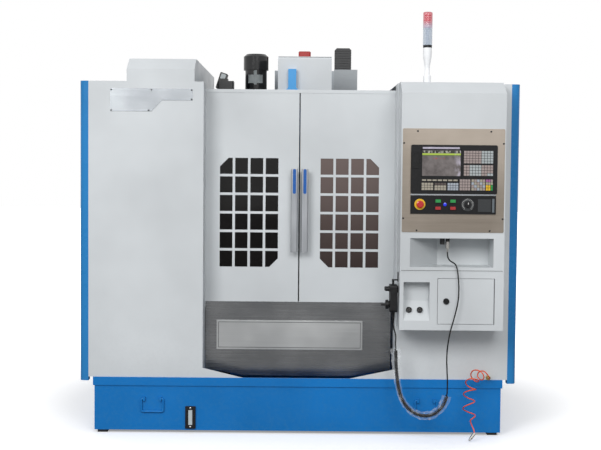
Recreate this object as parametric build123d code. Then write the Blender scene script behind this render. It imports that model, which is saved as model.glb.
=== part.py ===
from build123d import *
import math
import os

# A vertical machining centre with a full enclosure, in millimetres.
# X runs to the operator's right, Y away from the operator and Z up.
# The origin is on the floor, under the middle of the machine's outline.

# Enclosure
enclosure_width = 2240
enclosure_top = 1803
front_face = -810
rear_face = 810
sheet = 3
corner_width = 44
corner_round = 26
corner_bottom = 269
opening_left = -490
opening_right = 497
toe_height = 50
toe_length_left = 207
toe_length_right = 231

# Clearances
running_gap = 0.3
slide_gap = 2
screw_gap = 0.5

# Coolant tank
tank_half_width = 1045
tank_floor = 15
tank_plate_top = 251
tank_wall = 5
rim_top = 289
rim_thickness = 14
rim_overhang = 7
tank_front_depth = 235
tank_rear = 780
tank_foot_size = 50
bed_tank_gap = 30
gauge_inset = 494
gauge_width = 53
gauge_height = 115
gauge_low = 25
gauge_depth = 8
handle_inset_left = 298
handle_inset_right = 384
handle_height = 178
handle_width = 112
handle_drop = 66
handle_rod = 5
lug_width = 10
lug_reach = 14

# Doors
door_front = -670
door_thickness = 35
door_low = 668
door_high = 1766
header_low = 1758
header_top = 1775
meeting_gap = 2
door_left_edge = -495
door_right_edge = 503
window_inner = 110
window_outer = 415
window_low = 850
window_high = 1419
window_bar = 13
window_columns = 4
window_rows = 6
window_corner = 45
glass_thickness = 5
glass_margin = 14
track_end = 1050
track_depth = 62

# Door handles
handle_bar_width = 34
handle_bar_thick = 20
handle_low = 932
handle_high = 1364
handle_standoff = 35
handle_left_x = -26
handle_right_x = 28.5
handle_post = 7
insert_width = 17
insert_length = 129
insert_depth = 1.5

# Front apron
apron_left = -487
apron_right = 484
apron_side_low = 315
apron_low = 278
apron_flat_left = -277
apron_flat_right = 265

# Magazine hood
hood_left = -882
hood_right = -537
hood_front_high = 1864
hood_high = 1925
hood_slope = 100
hood_length = 1370

# Control box
box_left = 501
box_right = 1016
box_front = -1010
box_low = 571
box_front_high = 1743
box_high = 1803
box_slope = 100
seam_height = 862
seam_width = 2
plate_margin = 6
plate_low = 1058
plate_high = 1569
cubby_left = 549
cubby_right = 963
cubby_low = 885
cubby_high = 1028
cubby_depth = 160
cubby_slant = 154
pocket_left = 520
pocket_right = 650
pocket_low = 618
pocket_high = 810
pocket_depth = 60
pocket_break = 712
store_left = 688
store_right = 972
store_low = 601
store_high = 830
store_depth = 150
store_lip = 12
store_door_thick = 12
store_gap = 2
latch_x = 732
latch_z = 716
latch_radius = 15
latch_stem = 9
cam_length = 52
cam_thick = 4
cam_half_width = 10
cam_gap = 1

# Control unit and switches
unit_left = 548
unit_right = 973
unit_low = 1248
unit_high = 1489
unit_thick = 12
screen_left = 602
screen_right = 792
screen_low = 1336
screen_high = 1462
screen_recess = 3
key_raise = 1
keys_left = 806
keys_right = 952
keys_low = 1337
keys_middle = 1395
keys_high = 1462
keys_gap = 6
field_left = 598
field_low = 1264
field_high = 1322
switch_left = 548
switch_right = 969
switch_low = 1149
switch_high = 1240
switch_thick = 8
stop_x = 594
stop_z = 1196
stop_radius = 18
stop_ring = 27
ring_height = 3
stop_travel = 4
stop_head = 11
stop_crown = 2.5
button_width = 30
button_rim = 2
button_height = 19
button_columns = (683, 756)
button_rows = (1213, 1178)
button_travel = 2.5
indicator_x = 717
indicator_radius = 9
indicator_height = 7
knob_x = 830
knob_radius = 15
flap_left = 548
flap_width = 42
flap_low = 1371
flap_height = 77
flap_thick = 3

# Hand pendant
pendant_back = 494
pendant_depth = 36
pendant_y = -920
pendant_width = 80
pendant_low = 652
pendant_high = 789
pendant_knob_z = 767
pendant_knob_spread = 19
pendant_knob_radius = 12
wheel_z = 688
wheel_radius = 23
crank_reach = 15

# Signal lamp
lamp_x = 638
lamp_y = -860
lamp_radius = 23.5
pole_height = 187
pale_lens_height = 86
red_lens_height = 80
pole_radius = 13
collar_radius = 19
collar_height = 34
pole_flare = 60

# Machine axis and main heights
axis_x = 25
spindle_y = -100
pad_height = 40
bed_top = 430
bed_front = -560
bed_rear = 770
bed_half_top = 350
bed_half_foot = 430
table_top = 780

# Linear guides
rail_width = 35
rail_height = 38
y_rail_spread = 220
x_rail_spread = 120
z_rail_spread = 105
block_width = 90

# Ball screws and servo motors
screw_radius = 16
screw_end = 10
trough_half = 60
z_bearing_reach = 40
z_bearing_rise = 30
motor_half = 55
motor_length = 170
y_screw_z = 405

# Saddle and table
saddle_half_x = 500
saddle_half_y = 180
saddle_low = 478
saddle_top = 600
table_half_x = 400
table_under = 700
slot_count = 5
slot_pitch = 80
slot_width = 18
slot_depth = 30
slot_base_width = 32
slot_base_height = 14
slot_margin = 40

# Column
column_front = 350
column_rear = 730
column_half = 180
column_half_foot = 280
column_flare_low = 620
column_flare_high = 900
column_top = 1955
column_panel_depth = 20
column_panel_low_height = 380
column_panel_margin = 120
column_rib = 80
z_rail_low = 860
z_rail_high = 1880

# Spindle head
nose_low = 1180
head_low = 1250
head_chin = 150
head_top = 1700
head_half = 110
head_front = -250
plate_half = 150
cover_front = -215
cover_rear = 110
cover_top = 1990
cartridge_radius = 75
spindle_radius = 35
nose_radius = 44.45
taper_large = 22.225
taper_length = 68
taper_ratio = 7 / 24
post_x = -45
post_half = 22.5
post_flare = 41
post_top = 1917

# Tool changer
changer_x = -257
gearbox_half = 95
gearbox_front = -175
gearbox_rear = 125
gearbox_low = 1240
gearbox_top = 1720
changer_motor_y = 50
changer_motor_radius = 62.5
changer_cap_radius = 72
changer_cap_low = 1930
changer_motor_top = 2022
arm_low = 1105
arm_thick = 40
arm_half_width = 38
grip_radius = 52
grip_notch = 31
arm_hub_radius = 65
arm_shaft = 30

# Tool magazine
disc_z = 1540
disc_radius = 340
disc_face = -590
disc_thick = 20
pot_count = 16
pot_circle = 300
pot_radius = 34
pot_bore = 22
pot_length = 90
hub_radius = 85
axle_radius = 25
frame_left = -540
frame_low = 1400
frame_half_y = 150
beam_low = 1380
beam_high = 1620
beam_rear = 650
magazine_motor_x = -428
magazine_motor_half = 46
magazine_motor_top = 1862
motor_box_width = 44
motor_box_height = 96
motor_box_depth = 66
motor_box_lean = 18

# Cable duct and chain
duct_width = 140
duct_depth = 120
duct_low = 1000
duct_top = 1964
chain_left = 208
chain_right = 308
chain_top = 2095
chain_depth = 80
chain_chamfer = 12
chain_links = 8

# Inner guards
guard_half = 860
guard_top = 1765
guard_rear = 333
guard_rear_top = 1100

# Electrical cabinet
cabinet_half = 600
cabinet_low = 450
cabinet_top = 1650
cabinet_depth = 218
cabinet_sheet = 4
cabinet_door_thick = 18
hinge_inset = 150
cabinet_handle_inset = 60
cabinet_handle_width = 30
cabinet_handle_length = 140
cabinet_handle_proud = 3.7
cabinet_handle_rise = 20
mount_plate = 6
plate_inset = 60
drive_count = 4
drive_inset = 140
drive_pitch = 180
drive_width = 120
drive_depth = 140
drive_height = 340
row_rise = 180
row_depth = 60
row_height = 80

# Cords and hose
cord_radius = 2.75
curl_radius = 10
hose_radius = 3
hose_coil_radius = 33

enclosure_half = enclosure_width / 2
lens_low = box_high + pole_height
lens_split = lens_low + pale_lens_height
lamp_top = lens_split + red_lens_height
gauge_x = -tank_half_width + gauge_inset
table_half_y = (slot_count - 1) / 2 * slot_pitch + slot_margin
handle_places = (-tank_half_width + handle_inset_left, tank_half_width - handle_inset_right)
door_back = door_front + door_thickness
plate_front = box_front - sheet
saddle_y = spindle_y
z_screw_y = column_front


def block(x_low, x_high, y_low, y_high, z_low, z_high):
    middle = Pos((x_low + x_high) / 2, (y_low + y_high) / 2, (z_low + z_high) / 2)
    return middle * Box(x_high - x_low, y_high - y_low, z_high - z_low)


def rod_x(y, z, x_low, x_high, radius):
    length = x_high - x_low
    return Pos((x_low + x_high) / 2, y, z) * Rot(0, 90, 0) * Cylinder(radius, length)


def rod_y(x, z, y_low, y_high, radius):
    length = y_high - y_low
    return Pos(x, (y_low + y_high) / 2, z) * Rot(90, 0, 0) * Cylinder(radius, length)


def rod_z(x, y, z_low, z_high, radius):
    return Pos(x, y, (z_low + z_high) / 2) * Cylinder(radius, z_high - z_low)


def prism(outline, direction, depth):
    face = make_face(Polyline(*outline, close=True))
    return extrude(face, amount=depth, dir=direction)


def turned_z(x, y, profile):
    """A solid of revolution about the vertical through x, y, from its (radius, z) outline."""
    outline = [(radius, 0, z) for radius, z in profile]
    face = make_face(Polyline(*outline, close=True))
    return Pos(x, y, 0) * revolve(face, axis=Axis.Z)


def save(name, *pieces):
    solids = [solid for piece in pieces for solid in piece.solids()]
    shape = solids[0] if len(solids) == 1 else Compound(children=solids)
    export_step(shape, f"parts/{name}.step")


# Coolant tank: a closed vessel round the bed on three sides, with a raised rim in front
def coolant_tank():
    front_leg = (-tank_half_width, tank_half_width, front_face, front_face + tank_front_depth)
    leg_inner_left = axis_x - bed_half_foot - bed_tank_gap
    leg_inner_right = axis_x + bed_half_foot + bed_tank_gap
    leg_start = front_face + tank_front_depth
    body = block(*front_leg, tank_floor, tank_plate_top)
    body += block(-tank_half_width, leg_inner_left, leg_start, tank_rear, tank_floor, tank_plate_top)
    body += block(leg_inner_right, tank_half_width, leg_start, tank_rear, tank_floor, tank_plate_top)
    wall = tank_wall
    inner_low = tank_floor + wall
    inner_high = tank_plate_top - wall
    hollow = block(
        -tank_half_width + wall,
        tank_half_width - wall,
        front_face + wall,
        leg_start - wall,
        inner_low,
        inner_high,
    )
    for x_low, x_high in ((-tank_half_width, leg_inner_left), (leg_inner_right, tank_half_width)):
        left, right = x_low + wall, x_high - wall
        hollow += block(left, right, leg_start - wall, tank_rear - wall, inner_low, inner_high)
    body -= hollow
    rim_half = tank_half_width + rim_overhang
    rim_front = front_face - rim_overhang
    rim_low = tank_plate_top - wall
    rim_inner = rim_half - rim_thickness
    rim = block(-rim_half, rim_half, rim_front, rim_front + rim_thickness, rim_low, rim_top)
    rim += block(-rim_half, -rim_inner, rim_front, tank_rear, rim_low, rim_top)
    rim += block(rim_inner, rim_half, rim_front, tank_rear, rim_low, rim_top)
    body += rim
    for place in handle_places:
        body += handle_lugs(place)
    return body


def handle_lugs(place):
    lug_outer = handle_width / 2 - handle_rod - 4
    lugs = []
    for side in (-1, 1):
        near = place + side * (lug_outer - lug_width)
        far = place + side * lug_outer
        lug = block(
            min(near, far),
            max(near, far),
            front_face - lug_reach,
            front_face,
            handle_height - lug_width,
            handle_height + lug_width,
        )
        bore = rod_x(
            front_face - lug_reach / 2,
            handle_height,
            min(near, far) - 1,
            max(near, far) + 1,
            handle_rod + running_gap,
        )
        lugs.append(lug - bore)
    return lugs[0] + lugs[1]


def tank_handle(place):
    """A drop handle of round rod: its two ends turn inwards through the lugs."""
    half = handle_width / 2
    y = front_face - lug_reach / 2
    pin_end = half - handle_rod - lug_width - 6
    low = handle_height - handle_drop
    path = FilletPolyline(
        (place - pin_end, y, handle_height),
        (place - half, y, handle_height),
        (place - half, y, low),
        (place + half, y, low),
        (place + half, y, handle_height),
        (place + pin_end, y, handle_height),
        radius=handle_rod * 1.6,
    )
    start = Plane(origin=path @ 0, z_dir=path % 0)
    return sweep(start * Circle(handle_rod), path=path)


def level_gauge():
    half = gauge_width / 2
    high = gauge_low + gauge_height
    frame = block(gauge_x - half, gauge_x + half, front_face - gauge_depth, front_face, gauge_low, high)
    window = block(
        gauge_x - half / 2,
        gauge_x + half / 2,
        front_face - gauge_depth,
        front_face - gauge_depth / 2,
        gauge_low + half / 2,
        high - half / 2,
    )
    return frame - window


def support_feet():
    """Square pads under the tank and round levelling pads under the bed."""
    feet = []
    half = tank_foot_size / 2
    inset = tank_half_width - half - 15
    for x in (-inset, inset):
        for y in (front_face + half + 10, 0, tank_rear - half - 10):
            feet.append(block(x - half, x + half, y - half, y + half, 0, tank_floor))
    for x in (axis_x - bed_half_foot + 70, axis_x + bed_half_foot - 70):
        for y in (bed_front + 80, (bed_front + bed_rear) / 2, bed_rear - 80):
            stem = ((22, 20), (22, pad_height), (0, pad_height))
            feet.append(turned_z(x, y, ((0, 0), (50, 0), (50, 12), *stem)))
    return feet


# Machine bed, guides and column
def machine_bed():
    outline = [
        (axis_x - bed_half_foot, bed_front, pad_height),
        (axis_x + bed_half_foot, bed_front, pad_height),
        (axis_x + bed_half_foot, bed_front, pad_height + 120),
        (axis_x + bed_half_top, bed_front, bed_top - 60),
        (axis_x + bed_half_top, bed_front, bed_top),
        (axis_x - bed_half_top, bed_front, bed_top),
        (axis_x - bed_half_top, bed_front, bed_top - 60),
        (axis_x - bed_half_foot, bed_front, pad_height + 120),
    ]
    bed = prism(outline, (0, 1, 0), bed_rear - bed_front)
    trough_low = y_screw_z - trough_half
    motor_end = column_front + motor_length + 20
    bed -= block(
        axis_x - trough_half,
        axis_x + trough_half,
        bed_front + 60,
        motor_end,
        trough_low,
        bed_top + 1,
    )
    for low, high in y_bearing_places():
        bearing = block(axis_x - trough_half, axis_x + trough_half, low, high, trough_low, y_screw_z + 40)
        bed += bearing - rod_y(axis_x, y_screw_z, low - 1, high + 1, screw_end + running_gap)
    return bed


def y_bearing_places():
    return ((bed_front + 60, bed_front + 90), (column_front - 40, column_front - 5))


def y_screw():
    (front_low, _), (_, rear_high) = y_bearing_places()
    (_, front_high), (rear_low, _) = y_bearing_places()
    screw = rod_y(axis_x, y_screw_z, front_low, rear_high, screw_end)
    return screw + rod_y(axis_x, y_screw_z, front_high + 1, rear_low - 1, screw_radius)


def guide_rails():
    """Two rails for Y on the bed and two for Z on the column, each with its chamfered upper edges."""
    rails = []
    for side in (-1, 1):
        x = axis_x + side * y_rail_spread
        rails.append(
            block(
                x - rail_width / 2,
                x + rail_width / 2,
                bed_front + 60,
                column_front - 10,
                bed_top,
                bed_top + rail_height,
            )
        )
        x = axis_x + side * z_rail_spread
        rails.append(
            block(
                x - rail_width / 2,
                x + rail_width / 2,
                column_front - rail_height,
                column_front,
                z_rail_low,
                z_rail_high,
            )
        )
    return rails


def machine_column():
    half, foot = column_half, column_half_foot
    outline = [
        (axis_x - foot, column_front, bed_top),
        (axis_x + foot, column_front, bed_top),
        (axis_x + foot, column_front, column_flare_low),
        (axis_x + half, column_front, column_flare_high),
        (axis_x + half, column_front, column_top),
        (axis_x - half, column_front, column_top),
        (axis_x - half, column_front, column_flare_high),
        (axis_x - foot, column_front, column_flare_low),
    ]
    column = prism(outline, (0, 1, 0), column_rear - column_front)
    arch = block(
        axis_x - trough_half - 10,
        axis_x + trough_half + 10,
        column_front - 1,
        column_front + motor_length + 30,
        bed_top - 1,
        y_screw_z + motor_half + 25,
    )
    trough = block(
        axis_x - trough_half,
        axis_x + trough_half,
        column_front - 1,
        column_front + trough_half,
        z_rail_low - 20,
        z_rail_high + z_bearing_rise,
    )
    window_half = column_half - 60
    rear_windows = block(
        axis_x - window_half,
        axis_x + window_half,
        column_rear - column_panel_depth,
        column_rear + 1,
        column_flare_high,
        column_flare_high + column_panel_low_height,
    )
    rear_windows += block(
        axis_x - window_half,
        axis_x + window_half,
        column_rear - column_panel_depth,
        column_rear + 1,
        column_flare_high + column_panel_low_height + column_rib,
        column_top - column_panel_margin,
    )
    column = column - arch - trough - rear_windows
    for low, high in z_bearing_places():
        bearing = block(
            axis_x - trough_half,
            axis_x + trough_half,
            column_front - z_bearing_reach,
            column_front + trough_half,
            low,
            high,
        )
        column += bearing
        column -= rod_z(axis_x, z_screw_y, low - 1, high + 1, screw_end + running_gap)
    return column


def z_bearing_places():
    return ((z_rail_low - 20, z_rail_low + 10), (z_rail_high + z_bearing_rise, column_top))


def z_screw():
    (foot_low, foot_high), (head_bearing_low, head_bearing_high) = z_bearing_places()
    screw = rod_z(axis_x, z_screw_y, foot_low, head_bearing_high, screw_end)
    return screw + rod_z(axis_x, z_screw_y, foot_high + 1, head_bearing_low - 1, screw_radius)


def servo_motor_profile():
    """The vertical feed motor: square body with a smaller square cap over its encoder."""
    half = motor_half
    body_top = column_top + 78
    cap_half = half * 0.67
    body = block(axis_x - half, axis_x + half, z_screw_y - half, z_screw_y + half, column_top, body_top)
    body = fillet(body.edges().filter_by(Axis.Z), half * 0.25)
    cap = block(
        axis_x - cap_half,
        axis_x + cap_half,
        z_screw_y - cap_half,
        z_screw_y + cap_half,
        body_top,
        body_top + 36,
    )
    cap = fillet(cap.edges().filter_by(Axis.Z), cap_half * 0.3)
    return body, chamfer(cap.faces().sort_by(Axis.Z)[-1].edges(), 5)


def feed_motors():
    rear_bearing = y_bearing_places()[1][1]
    y_motor = block(
        axis_x - motor_half,
        axis_x + motor_half,
        rear_bearing,
        rear_bearing + motor_length,
        y_screw_z - motor_half,
        y_screw_z + motor_half,
    )
    y_motor = fillet(y_motor.edges().filter_by(Axis.Y), motor_half * 0.25)
    return (y_motor, *servo_motor_profile())


# Saddle and table
def saddle():
    x_low, x_high = axis_x - saddle_half_x, axis_x + saddle_half_x
    y_low, y_high = saddle_y - saddle_half_y, saddle_y + saddle_half_y
    under = bed_top + 6
    outline = [
        (x_low, y_low, saddle_top),
        (x_low, y_low, saddle_low + 50),
        (axis_x - y_rail_spread - block_width, y_low, saddle_low),
        (axis_x + y_rail_spread + block_width, y_low, saddle_low),
        (x_high, y_low, saddle_low + 50),
        (x_high, y_low, saddle_top),
    ]
    body = prism(outline, (0, 1, 0), y_high - y_low)
    for side in (-1, 1):
        x = axis_x + side * y_rail_spread
        for end in (-1, 1):
            y = saddle_y + end * (saddle_half_y - 60)
            carriage = block(x - block_width / 2, x + block_width / 2, y - 55, y + 55, under, saddle_low)
            body += carriage
        slot = rail_width / 2 + running_gap
        slot_top = bed_top + rail_height + running_gap
        body -= block(x - slot, x + slot, y_low - 1, y_high + 1, under - 1, slot_top)
    nut = block(axis_x - 40, axis_x + 40, saddle_y - 45, saddle_y + 45, y_screw_z - 35, saddle_low)
    body += nut
    body -= rod_y(axis_x, y_screw_z, saddle_y - 46, saddle_y + 46, screw_radius + screw_gap)
    trough_y = motor_half
    body -= block(
        x_low - 1,
        x_high + 1,
        saddle_y - trough_y,
        saddle_y + trough_y,
        saddle_top - motor_half,
        saddle_top + 1,
    )
    for low, high in x_bearing_places():
        bearing = block(
            low,
            high,
            saddle_y - trough_y,
            saddle_y + trough_y,
            saddle_top - motor_half,
            saddle_top + 40,
        )
        body += bearing
        body -= rod_x(saddle_y, saddle_top, low - 1, high + 1, screw_end + running_gap)
    rails = []
    for side in (-1, 1):
        y = saddle_y + side * x_rail_spread
        half = rail_width / 2
        rail = block(x_low, x_high, y - half, y + half, saddle_top, saddle_top + rail_height)
        rails.append(rail)
    motor = block(
        x_high,
        x_high + motor_length,
        saddle_y - motor_half,
        saddle_y + motor_half,
        saddle_top - motor_half,
        saddle_top + motor_half,
    )
    motor = fillet(motor.edges().filter_by(Axis.X), motor_half * 0.25)
    return (body, *rails, motor)


def x_bearing_places():
    return (
        (axis_x - saddle_half_x, axis_x - saddle_half_x + 30),
        (axis_x + saddle_half_x - 30, axis_x + saddle_half_x),
    )


def x_screw():
    (left_low, left_high), (right_low, right_high) = x_bearing_places()
    screw = rod_x(saddle_y, saddle_top, left_low, right_high - 1, screw_end)
    return screw + rod_x(saddle_y, saddle_top, left_high + 1, right_low - 1, screw_radius)


def work_table():
    x_low, x_high = axis_x - table_half_x, axis_x + table_half_x
    body = block(x_low, x_high, saddle_y - table_half_y, saddle_y + table_half_y, table_under, table_top)
    first = -(slot_count - 1) / 2
    for index in range(slot_count):
        y = saddle_y + (first + index) * slot_pitch
        neck_low = table_top - slot_depth
        body -= block(x_low - 1, x_high + 1, y - slot_width / 2, y + slot_width / 2, neck_low, table_top + 1)
        base_half = slot_base_width / 2
        base_high = neck_low + slot_base_height
        body -= block(x_low - 1, x_high + 1, y - base_half, y + base_half, neck_low, base_high)
    rail_top = saddle_top + rail_height
    for side in (-1, 1):
        y = saddle_y + side * x_rail_spread
        for end in (-1, 1):
            x = axis_x + end * 130
            half = block_width / 2
            body += block(x - 55, x + 55, y - half, y + half, saddle_top + 6, table_under)
        slot = rail_width / 2 + running_gap
        body -= block(x_low - 1, x_high + 1, y - slot, y + slot, saddle_top, rail_top + running_gap)
    nut = block(axis_x - 45, axis_x + 45, saddle_y - 38, saddle_y + 38, saddle_top - 34, table_under)
    body += nut
    return body - rod_x(saddle_y, saddle_top, axis_x - 46, axis_x + 46, screw_radius + screw_gap)


# Spindle head
def spindle_head():
    """A casting with the spindle cartridge, guide blocks at its back, and a cable post on its front."""
    back = column_front - rail_height - 8
    x_low = axis_x - head_half
    side = [
        (x_low, head_front, head_top),
        (x_low, head_front, head_low + head_chin),
        (x_low, spindle_y - cartridge_radius - 20, head_low),
        (x_low, spindle_y + cartridge_radius + 20, head_low),
        (x_low, spindle_y + cartridge_radius + 90, head_low + 110),
        (x_low, back, head_low + 110),
        (x_low, back, head_top),
    ]
    body = prism(side, (1, 0, 0), 2 * head_half)
    edges = body.edges().filter_by(Axis.Z).group_by(Axis.Y)[0]
    body = fillet(edges, 30)
    body += rod_z(axis_x, spindle_y, nose_low + 14, head_low + 1, cartridge_radius)
    body += block(axis_x - plate_half, axis_x + plate_half, head_front, cover_rear, head_top - 30, head_top)
    for side_sign in (-1, 1):
        x = axis_x + side_sign * z_rail_spread
        for low in (head_low + 120, head_top - 130):
            body += block(x - block_width / 2, x + block_width / 2, back, column_front - 6, low, low + 110)
        slot = rail_width / 2 + running_gap
        body -= block(
            x - slot,
            x + slot,
            column_front - rail_height - running_gap,
            column_front + 1,
            head_low,
            head_top,
        )
    nut_low = (head_low + head_top) / 2
    nut = block(axis_x - 42, axis_x + 42, back, z_screw_y + 42, nut_low, nut_low + 90)
    body += nut
    body -= rod_z(axis_x, z_screw_y, nut_low - 1, nut_low + 91, screw_radius + screw_gap)
    body -= rod_z(axis_x, spindle_y, nose_low, nose_low + 40, cartridge_radius - 12)
    body -= rod_z(axis_x, spindle_y, nose_low, head_top - 60, spindle_radius + running_gap)
    return (body + cable_post(), spindle_motor())


def cable_post():
    """The flat post in front of the cover: its foot flares out in two quarter rounds."""
    low, flare_top = head_top, head_top + 120
    y = head_front
    wide, narrow = post_flare, post_half
    reach = wide - narrow
    with BuildPart() as post:
        with BuildSketch(Plane(origin=(post_x, y, 0), x_dir=(1, 0, 0), z_dir=(0, -1, 0))):
            with BuildLine():
                Line((-wide, low), (wide, low))
                Line((wide, low), (wide, flare_top - reach))
                RadiusArc((wide, flare_top - reach), (narrow, flare_top), reach)
                Line((narrow, flare_top), (narrow, post_top))
                Line((narrow, post_top), (-narrow, post_top))
                Line((-narrow, post_top), (-narrow, flare_top))
                RadiusArc((-narrow, flare_top), (-wide, flare_top - reach), reach)
                Line((-wide, flare_top - reach), (-wide, low))
            make_face()
        extrude(amount=-(cover_front - head_front - 2))
    return post.part


def spindle_motor():
    half = 92
    y = (cover_front + cover_rear) / 2
    motor = block(axis_x - half, axis_x + half, y - half, y + half, head_top, cover_top - 60)
    return fillet(motor.edges().filter_by(Axis.Z), 18)


def head_cover():
    outer = block(axis_x - plate_half, axis_x + plate_half, cover_front, cover_rear, head_top, cover_top)
    outer = fillet(outer.edges().filter_by(Axis.X).group_by(Axis.Z)[-1], 14)
    inner = block(
        axis_x - plate_half + sheet,
        axis_x + plate_half - sheet,
        cover_front + sheet,
        cover_rear - sheet,
        head_top,
        cover_top - sheet,
    )
    return outer - inner


def spindle():
    """The rotating spindle: nose flange with its taper, drive keys and the shaft above."""
    depth_radius = taper_large - taper_length * taper_ratio / 2
    profile = (
        (taper_large, nose_low),
        (nose_radius, nose_low),
        (nose_radius, nose_low + 15),
        (cartridge_radius - 15, nose_low + 16),
        (cartridge_radius - 15, nose_low + 36),
        (spindle_radius, nose_low + 38),
        (spindle_radius, head_top - 62),
        (10, head_top - 62),
        (10, nose_low + taper_length),
        (depth_radius, nose_low + taper_length),
    )
    body = turned_z(axis_x, spindle_y, profile)
    for side in (-1, 1):
        x = axis_x + side * (taper_large + nose_radius) / 2
        body += block(x - 8, x + 8, spindle_y - 8, spindle_y + 8, nose_low - 8, nose_low + 4)
    return body


# Tool changer
def changer_drive():
    gearbox = block(
        changer_x - gearbox_half,
        changer_x + gearbox_half,
        gearbox_front,
        gearbox_rear,
        gearbox_low,
        gearbox_top,
    )
    gearbox = fillet(gearbox.edges().filter_by(Axis.Z), 20)
    gearbox += rod_z(changer_x, spindle_y, gearbox_low - 30, gearbox_low + 1, arm_shaft + 18)
    gearbox -= rod_z(changer_x, spindle_y, gearbox_low - 31, gearbox_low + 60, arm_shaft + running_gap)
    motor = rod_z(changer_x, changer_motor_y, gearbox_top, changer_cap_low, changer_motor_radius)
    cap = turned_z(
        changer_x,
        changer_motor_y,
        (
            (0, changer_cap_low),
            (changer_cap_radius, changer_cap_low),
            (changer_cap_radius, changer_motor_top - 14),
            (changer_cap_radius - 16, changer_motor_top),
            (0, changer_motor_top),
        ),
    )
    return gearbox, motor, cap


def changer_arm():
    """A double-ended swing arm, parked at right angles to the spindle and magazine line."""
    reach = axis_x - changer_x
    arm = Pos(changer_x, spindle_y) * Rectangle(2 * arm_half_width, 2 * reach)
    for end in (-1, 1):
        centre = Pos(changer_x, spindle_y + end * reach)
        arm += centre * Circle(grip_radius)
    arm += Pos(changer_x, spindle_y) * Circle(arm_hub_radius)
    for end in (-1, 1):
        centre = Pos(changer_x, spindle_y + end * reach)
        arm -= centre * Circle(grip_notch)
        arm -= centre * Pos(-end * grip_radius, 0) * Rectangle(2 * grip_radius, 1.8 * grip_notch)
    body = extrude(Pos(0, 0, arm_low) * arm, amount=arm_thick)
    body += rod_z(changer_x, spindle_y, arm_low + arm_thick, arm_low + arm_thick + 18, arm_hub_radius - 10)
    shaft_top = gearbox_low + 58
    return body + rod_z(changer_x, spindle_y, arm_low + arm_thick, shaft_top, arm_shaft)


def magazine_frame():
    """A gear case with the disc's axle, a beam back to the column, and a motor with a leaning cable box."""
    right = changer_x - gearbox_half
    case = block(frame_left, right, -frame_half_y, frame_half_y, frame_low, gearbox_top)
    beam = block(right - 15, axis_x - column_half, gearbox_rear, beam_rear, beam_low, beam_high)
    axle_end = disc_face + 4
    axle = rod_x(spindle_y, disc_z, axle_end, frame_left + 1, axle_radius)
    x, half = magazine_motor_x, magazine_motor_half
    motor = block(x - half, x + half, -half, half, gearbox_top, magazine_motor_top)
    motor = fillet(motor.edges().filter_by(Axis.Z), 10)
    cable_box = Box(motor_box_width, motor_box_depth, motor_box_height)
    cable_box = fillet(cable_box.edges().filter_by(Axis.Y), 6)
    place = Pos(x - half / 2, 0, magazine_motor_top) * Rot(0, motor_box_lean, 0)
    reach = half - 8
    shoulder = block(x - half / 2, x + 12, -reach, reach, magazine_motor_top - 1, magazine_motor_top + 14)
    return case + beam + axle, motor + place * cable_box + shoulder


def magazine_disc():
    """The disc turns on its axle; its tool pots stand out to the left, away from the spindle."""
    far = disc_face + disc_thick
    disc = rod_x(spindle_y, disc_z, disc_face, far, disc_radius)
    disc += rod_x(spindle_y, disc_z, far, frame_left - running_gap, hub_radius)
    for index in range(pot_count):
        angle = math.radians(360 * index / pot_count - 90)
        y = spindle_y + pot_circle * math.cos(angle)
        z = disc_z + pot_circle * math.sin(angle)
        pot = rod_x(y, z, disc_face - pot_length, disc_face, pot_radius)
        disc += pot
        disc -= rod_x(y, z, disc_face - pot_length - 1, disc_face - 20, pot_bore)
    return disc - rod_x(spindle_y, disc_z, disc_face - 1, frame_left, axle_radius + running_gap)


def cable_duct():
    """A square duct on the column's right side, and the drag chain that loops out of its top."""
    left = axis_x + column_half
    duct = block(left, left + duct_width, column_front, column_front + duct_depth, duct_low, duct_top)
    low = duct_top
    outline = [
        (chain_left, column_front + 20, low),
        (chain_right, column_front + 20, low),
        (chain_right, column_front + 20, chain_top - chain_chamfer),
        (chain_right - chain_chamfer, column_front + 20, chain_top),
        (chain_left + chain_chamfer, column_front + 20, chain_top),
        (chain_left, column_front + 20, chain_top - chain_chamfer),
    ]
    chain = prism(outline, (0, 1, 0), chain_depth)
    pitch = (chain_top - chain_chamfer - low) / chain_links
    for index in range(chain_links):
        z = low + (index + 0.5) * pitch
        for x in (chain_left, chain_right):
            chain -= block(x - 4, x + 4, column_front, column_front + 20 + chain_depth + 1, z - 2, z + 2)
        chain -= block(
            chain_left, chain_right, column_front + 19, column_front + 24, z - 2, z + 2
        )
    return duct, chain


# Enclosure
def front_panels():
    """Left and right cabinet fronts, each with a flange back to the doors and a toe lip at its foot."""
    back = front_face + sheet
    flange_end = door_front - slide_gap
    outer = enclosure_half - corner_width
    left = block(-outer, opening_left, front_face, back, rim_top, enclosure_top)
    flange_top = enclosure_top - sheet
    left += block(opening_left - sheet, opening_left, front_face, flange_end, rim_top, flange_top)
    left_toe = [
        (opening_left, front_face, rim_top),
        (opening_left + toe_length_left, front_face, rim_top),
        (opening_left, front_face, rim_top + toe_height),
    ]
    left += prism(left_toe, (0, 1, 0), sheet)
    right = block(opening_right, outer, front_face, back, rim_top, enclosure_top)
    right += block(opening_right, opening_right + sheet, front_face, flange_end, rim_top, flange_top)
    right_toe = [
        (opening_right, front_face, rim_top),
        (opening_right - toe_length_right, front_face, rim_top),
        (opening_right, front_face, rim_top + toe_height),
    ]
    right += prism(right_toe, (0, 1, 0), sheet)
    return left, right


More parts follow.
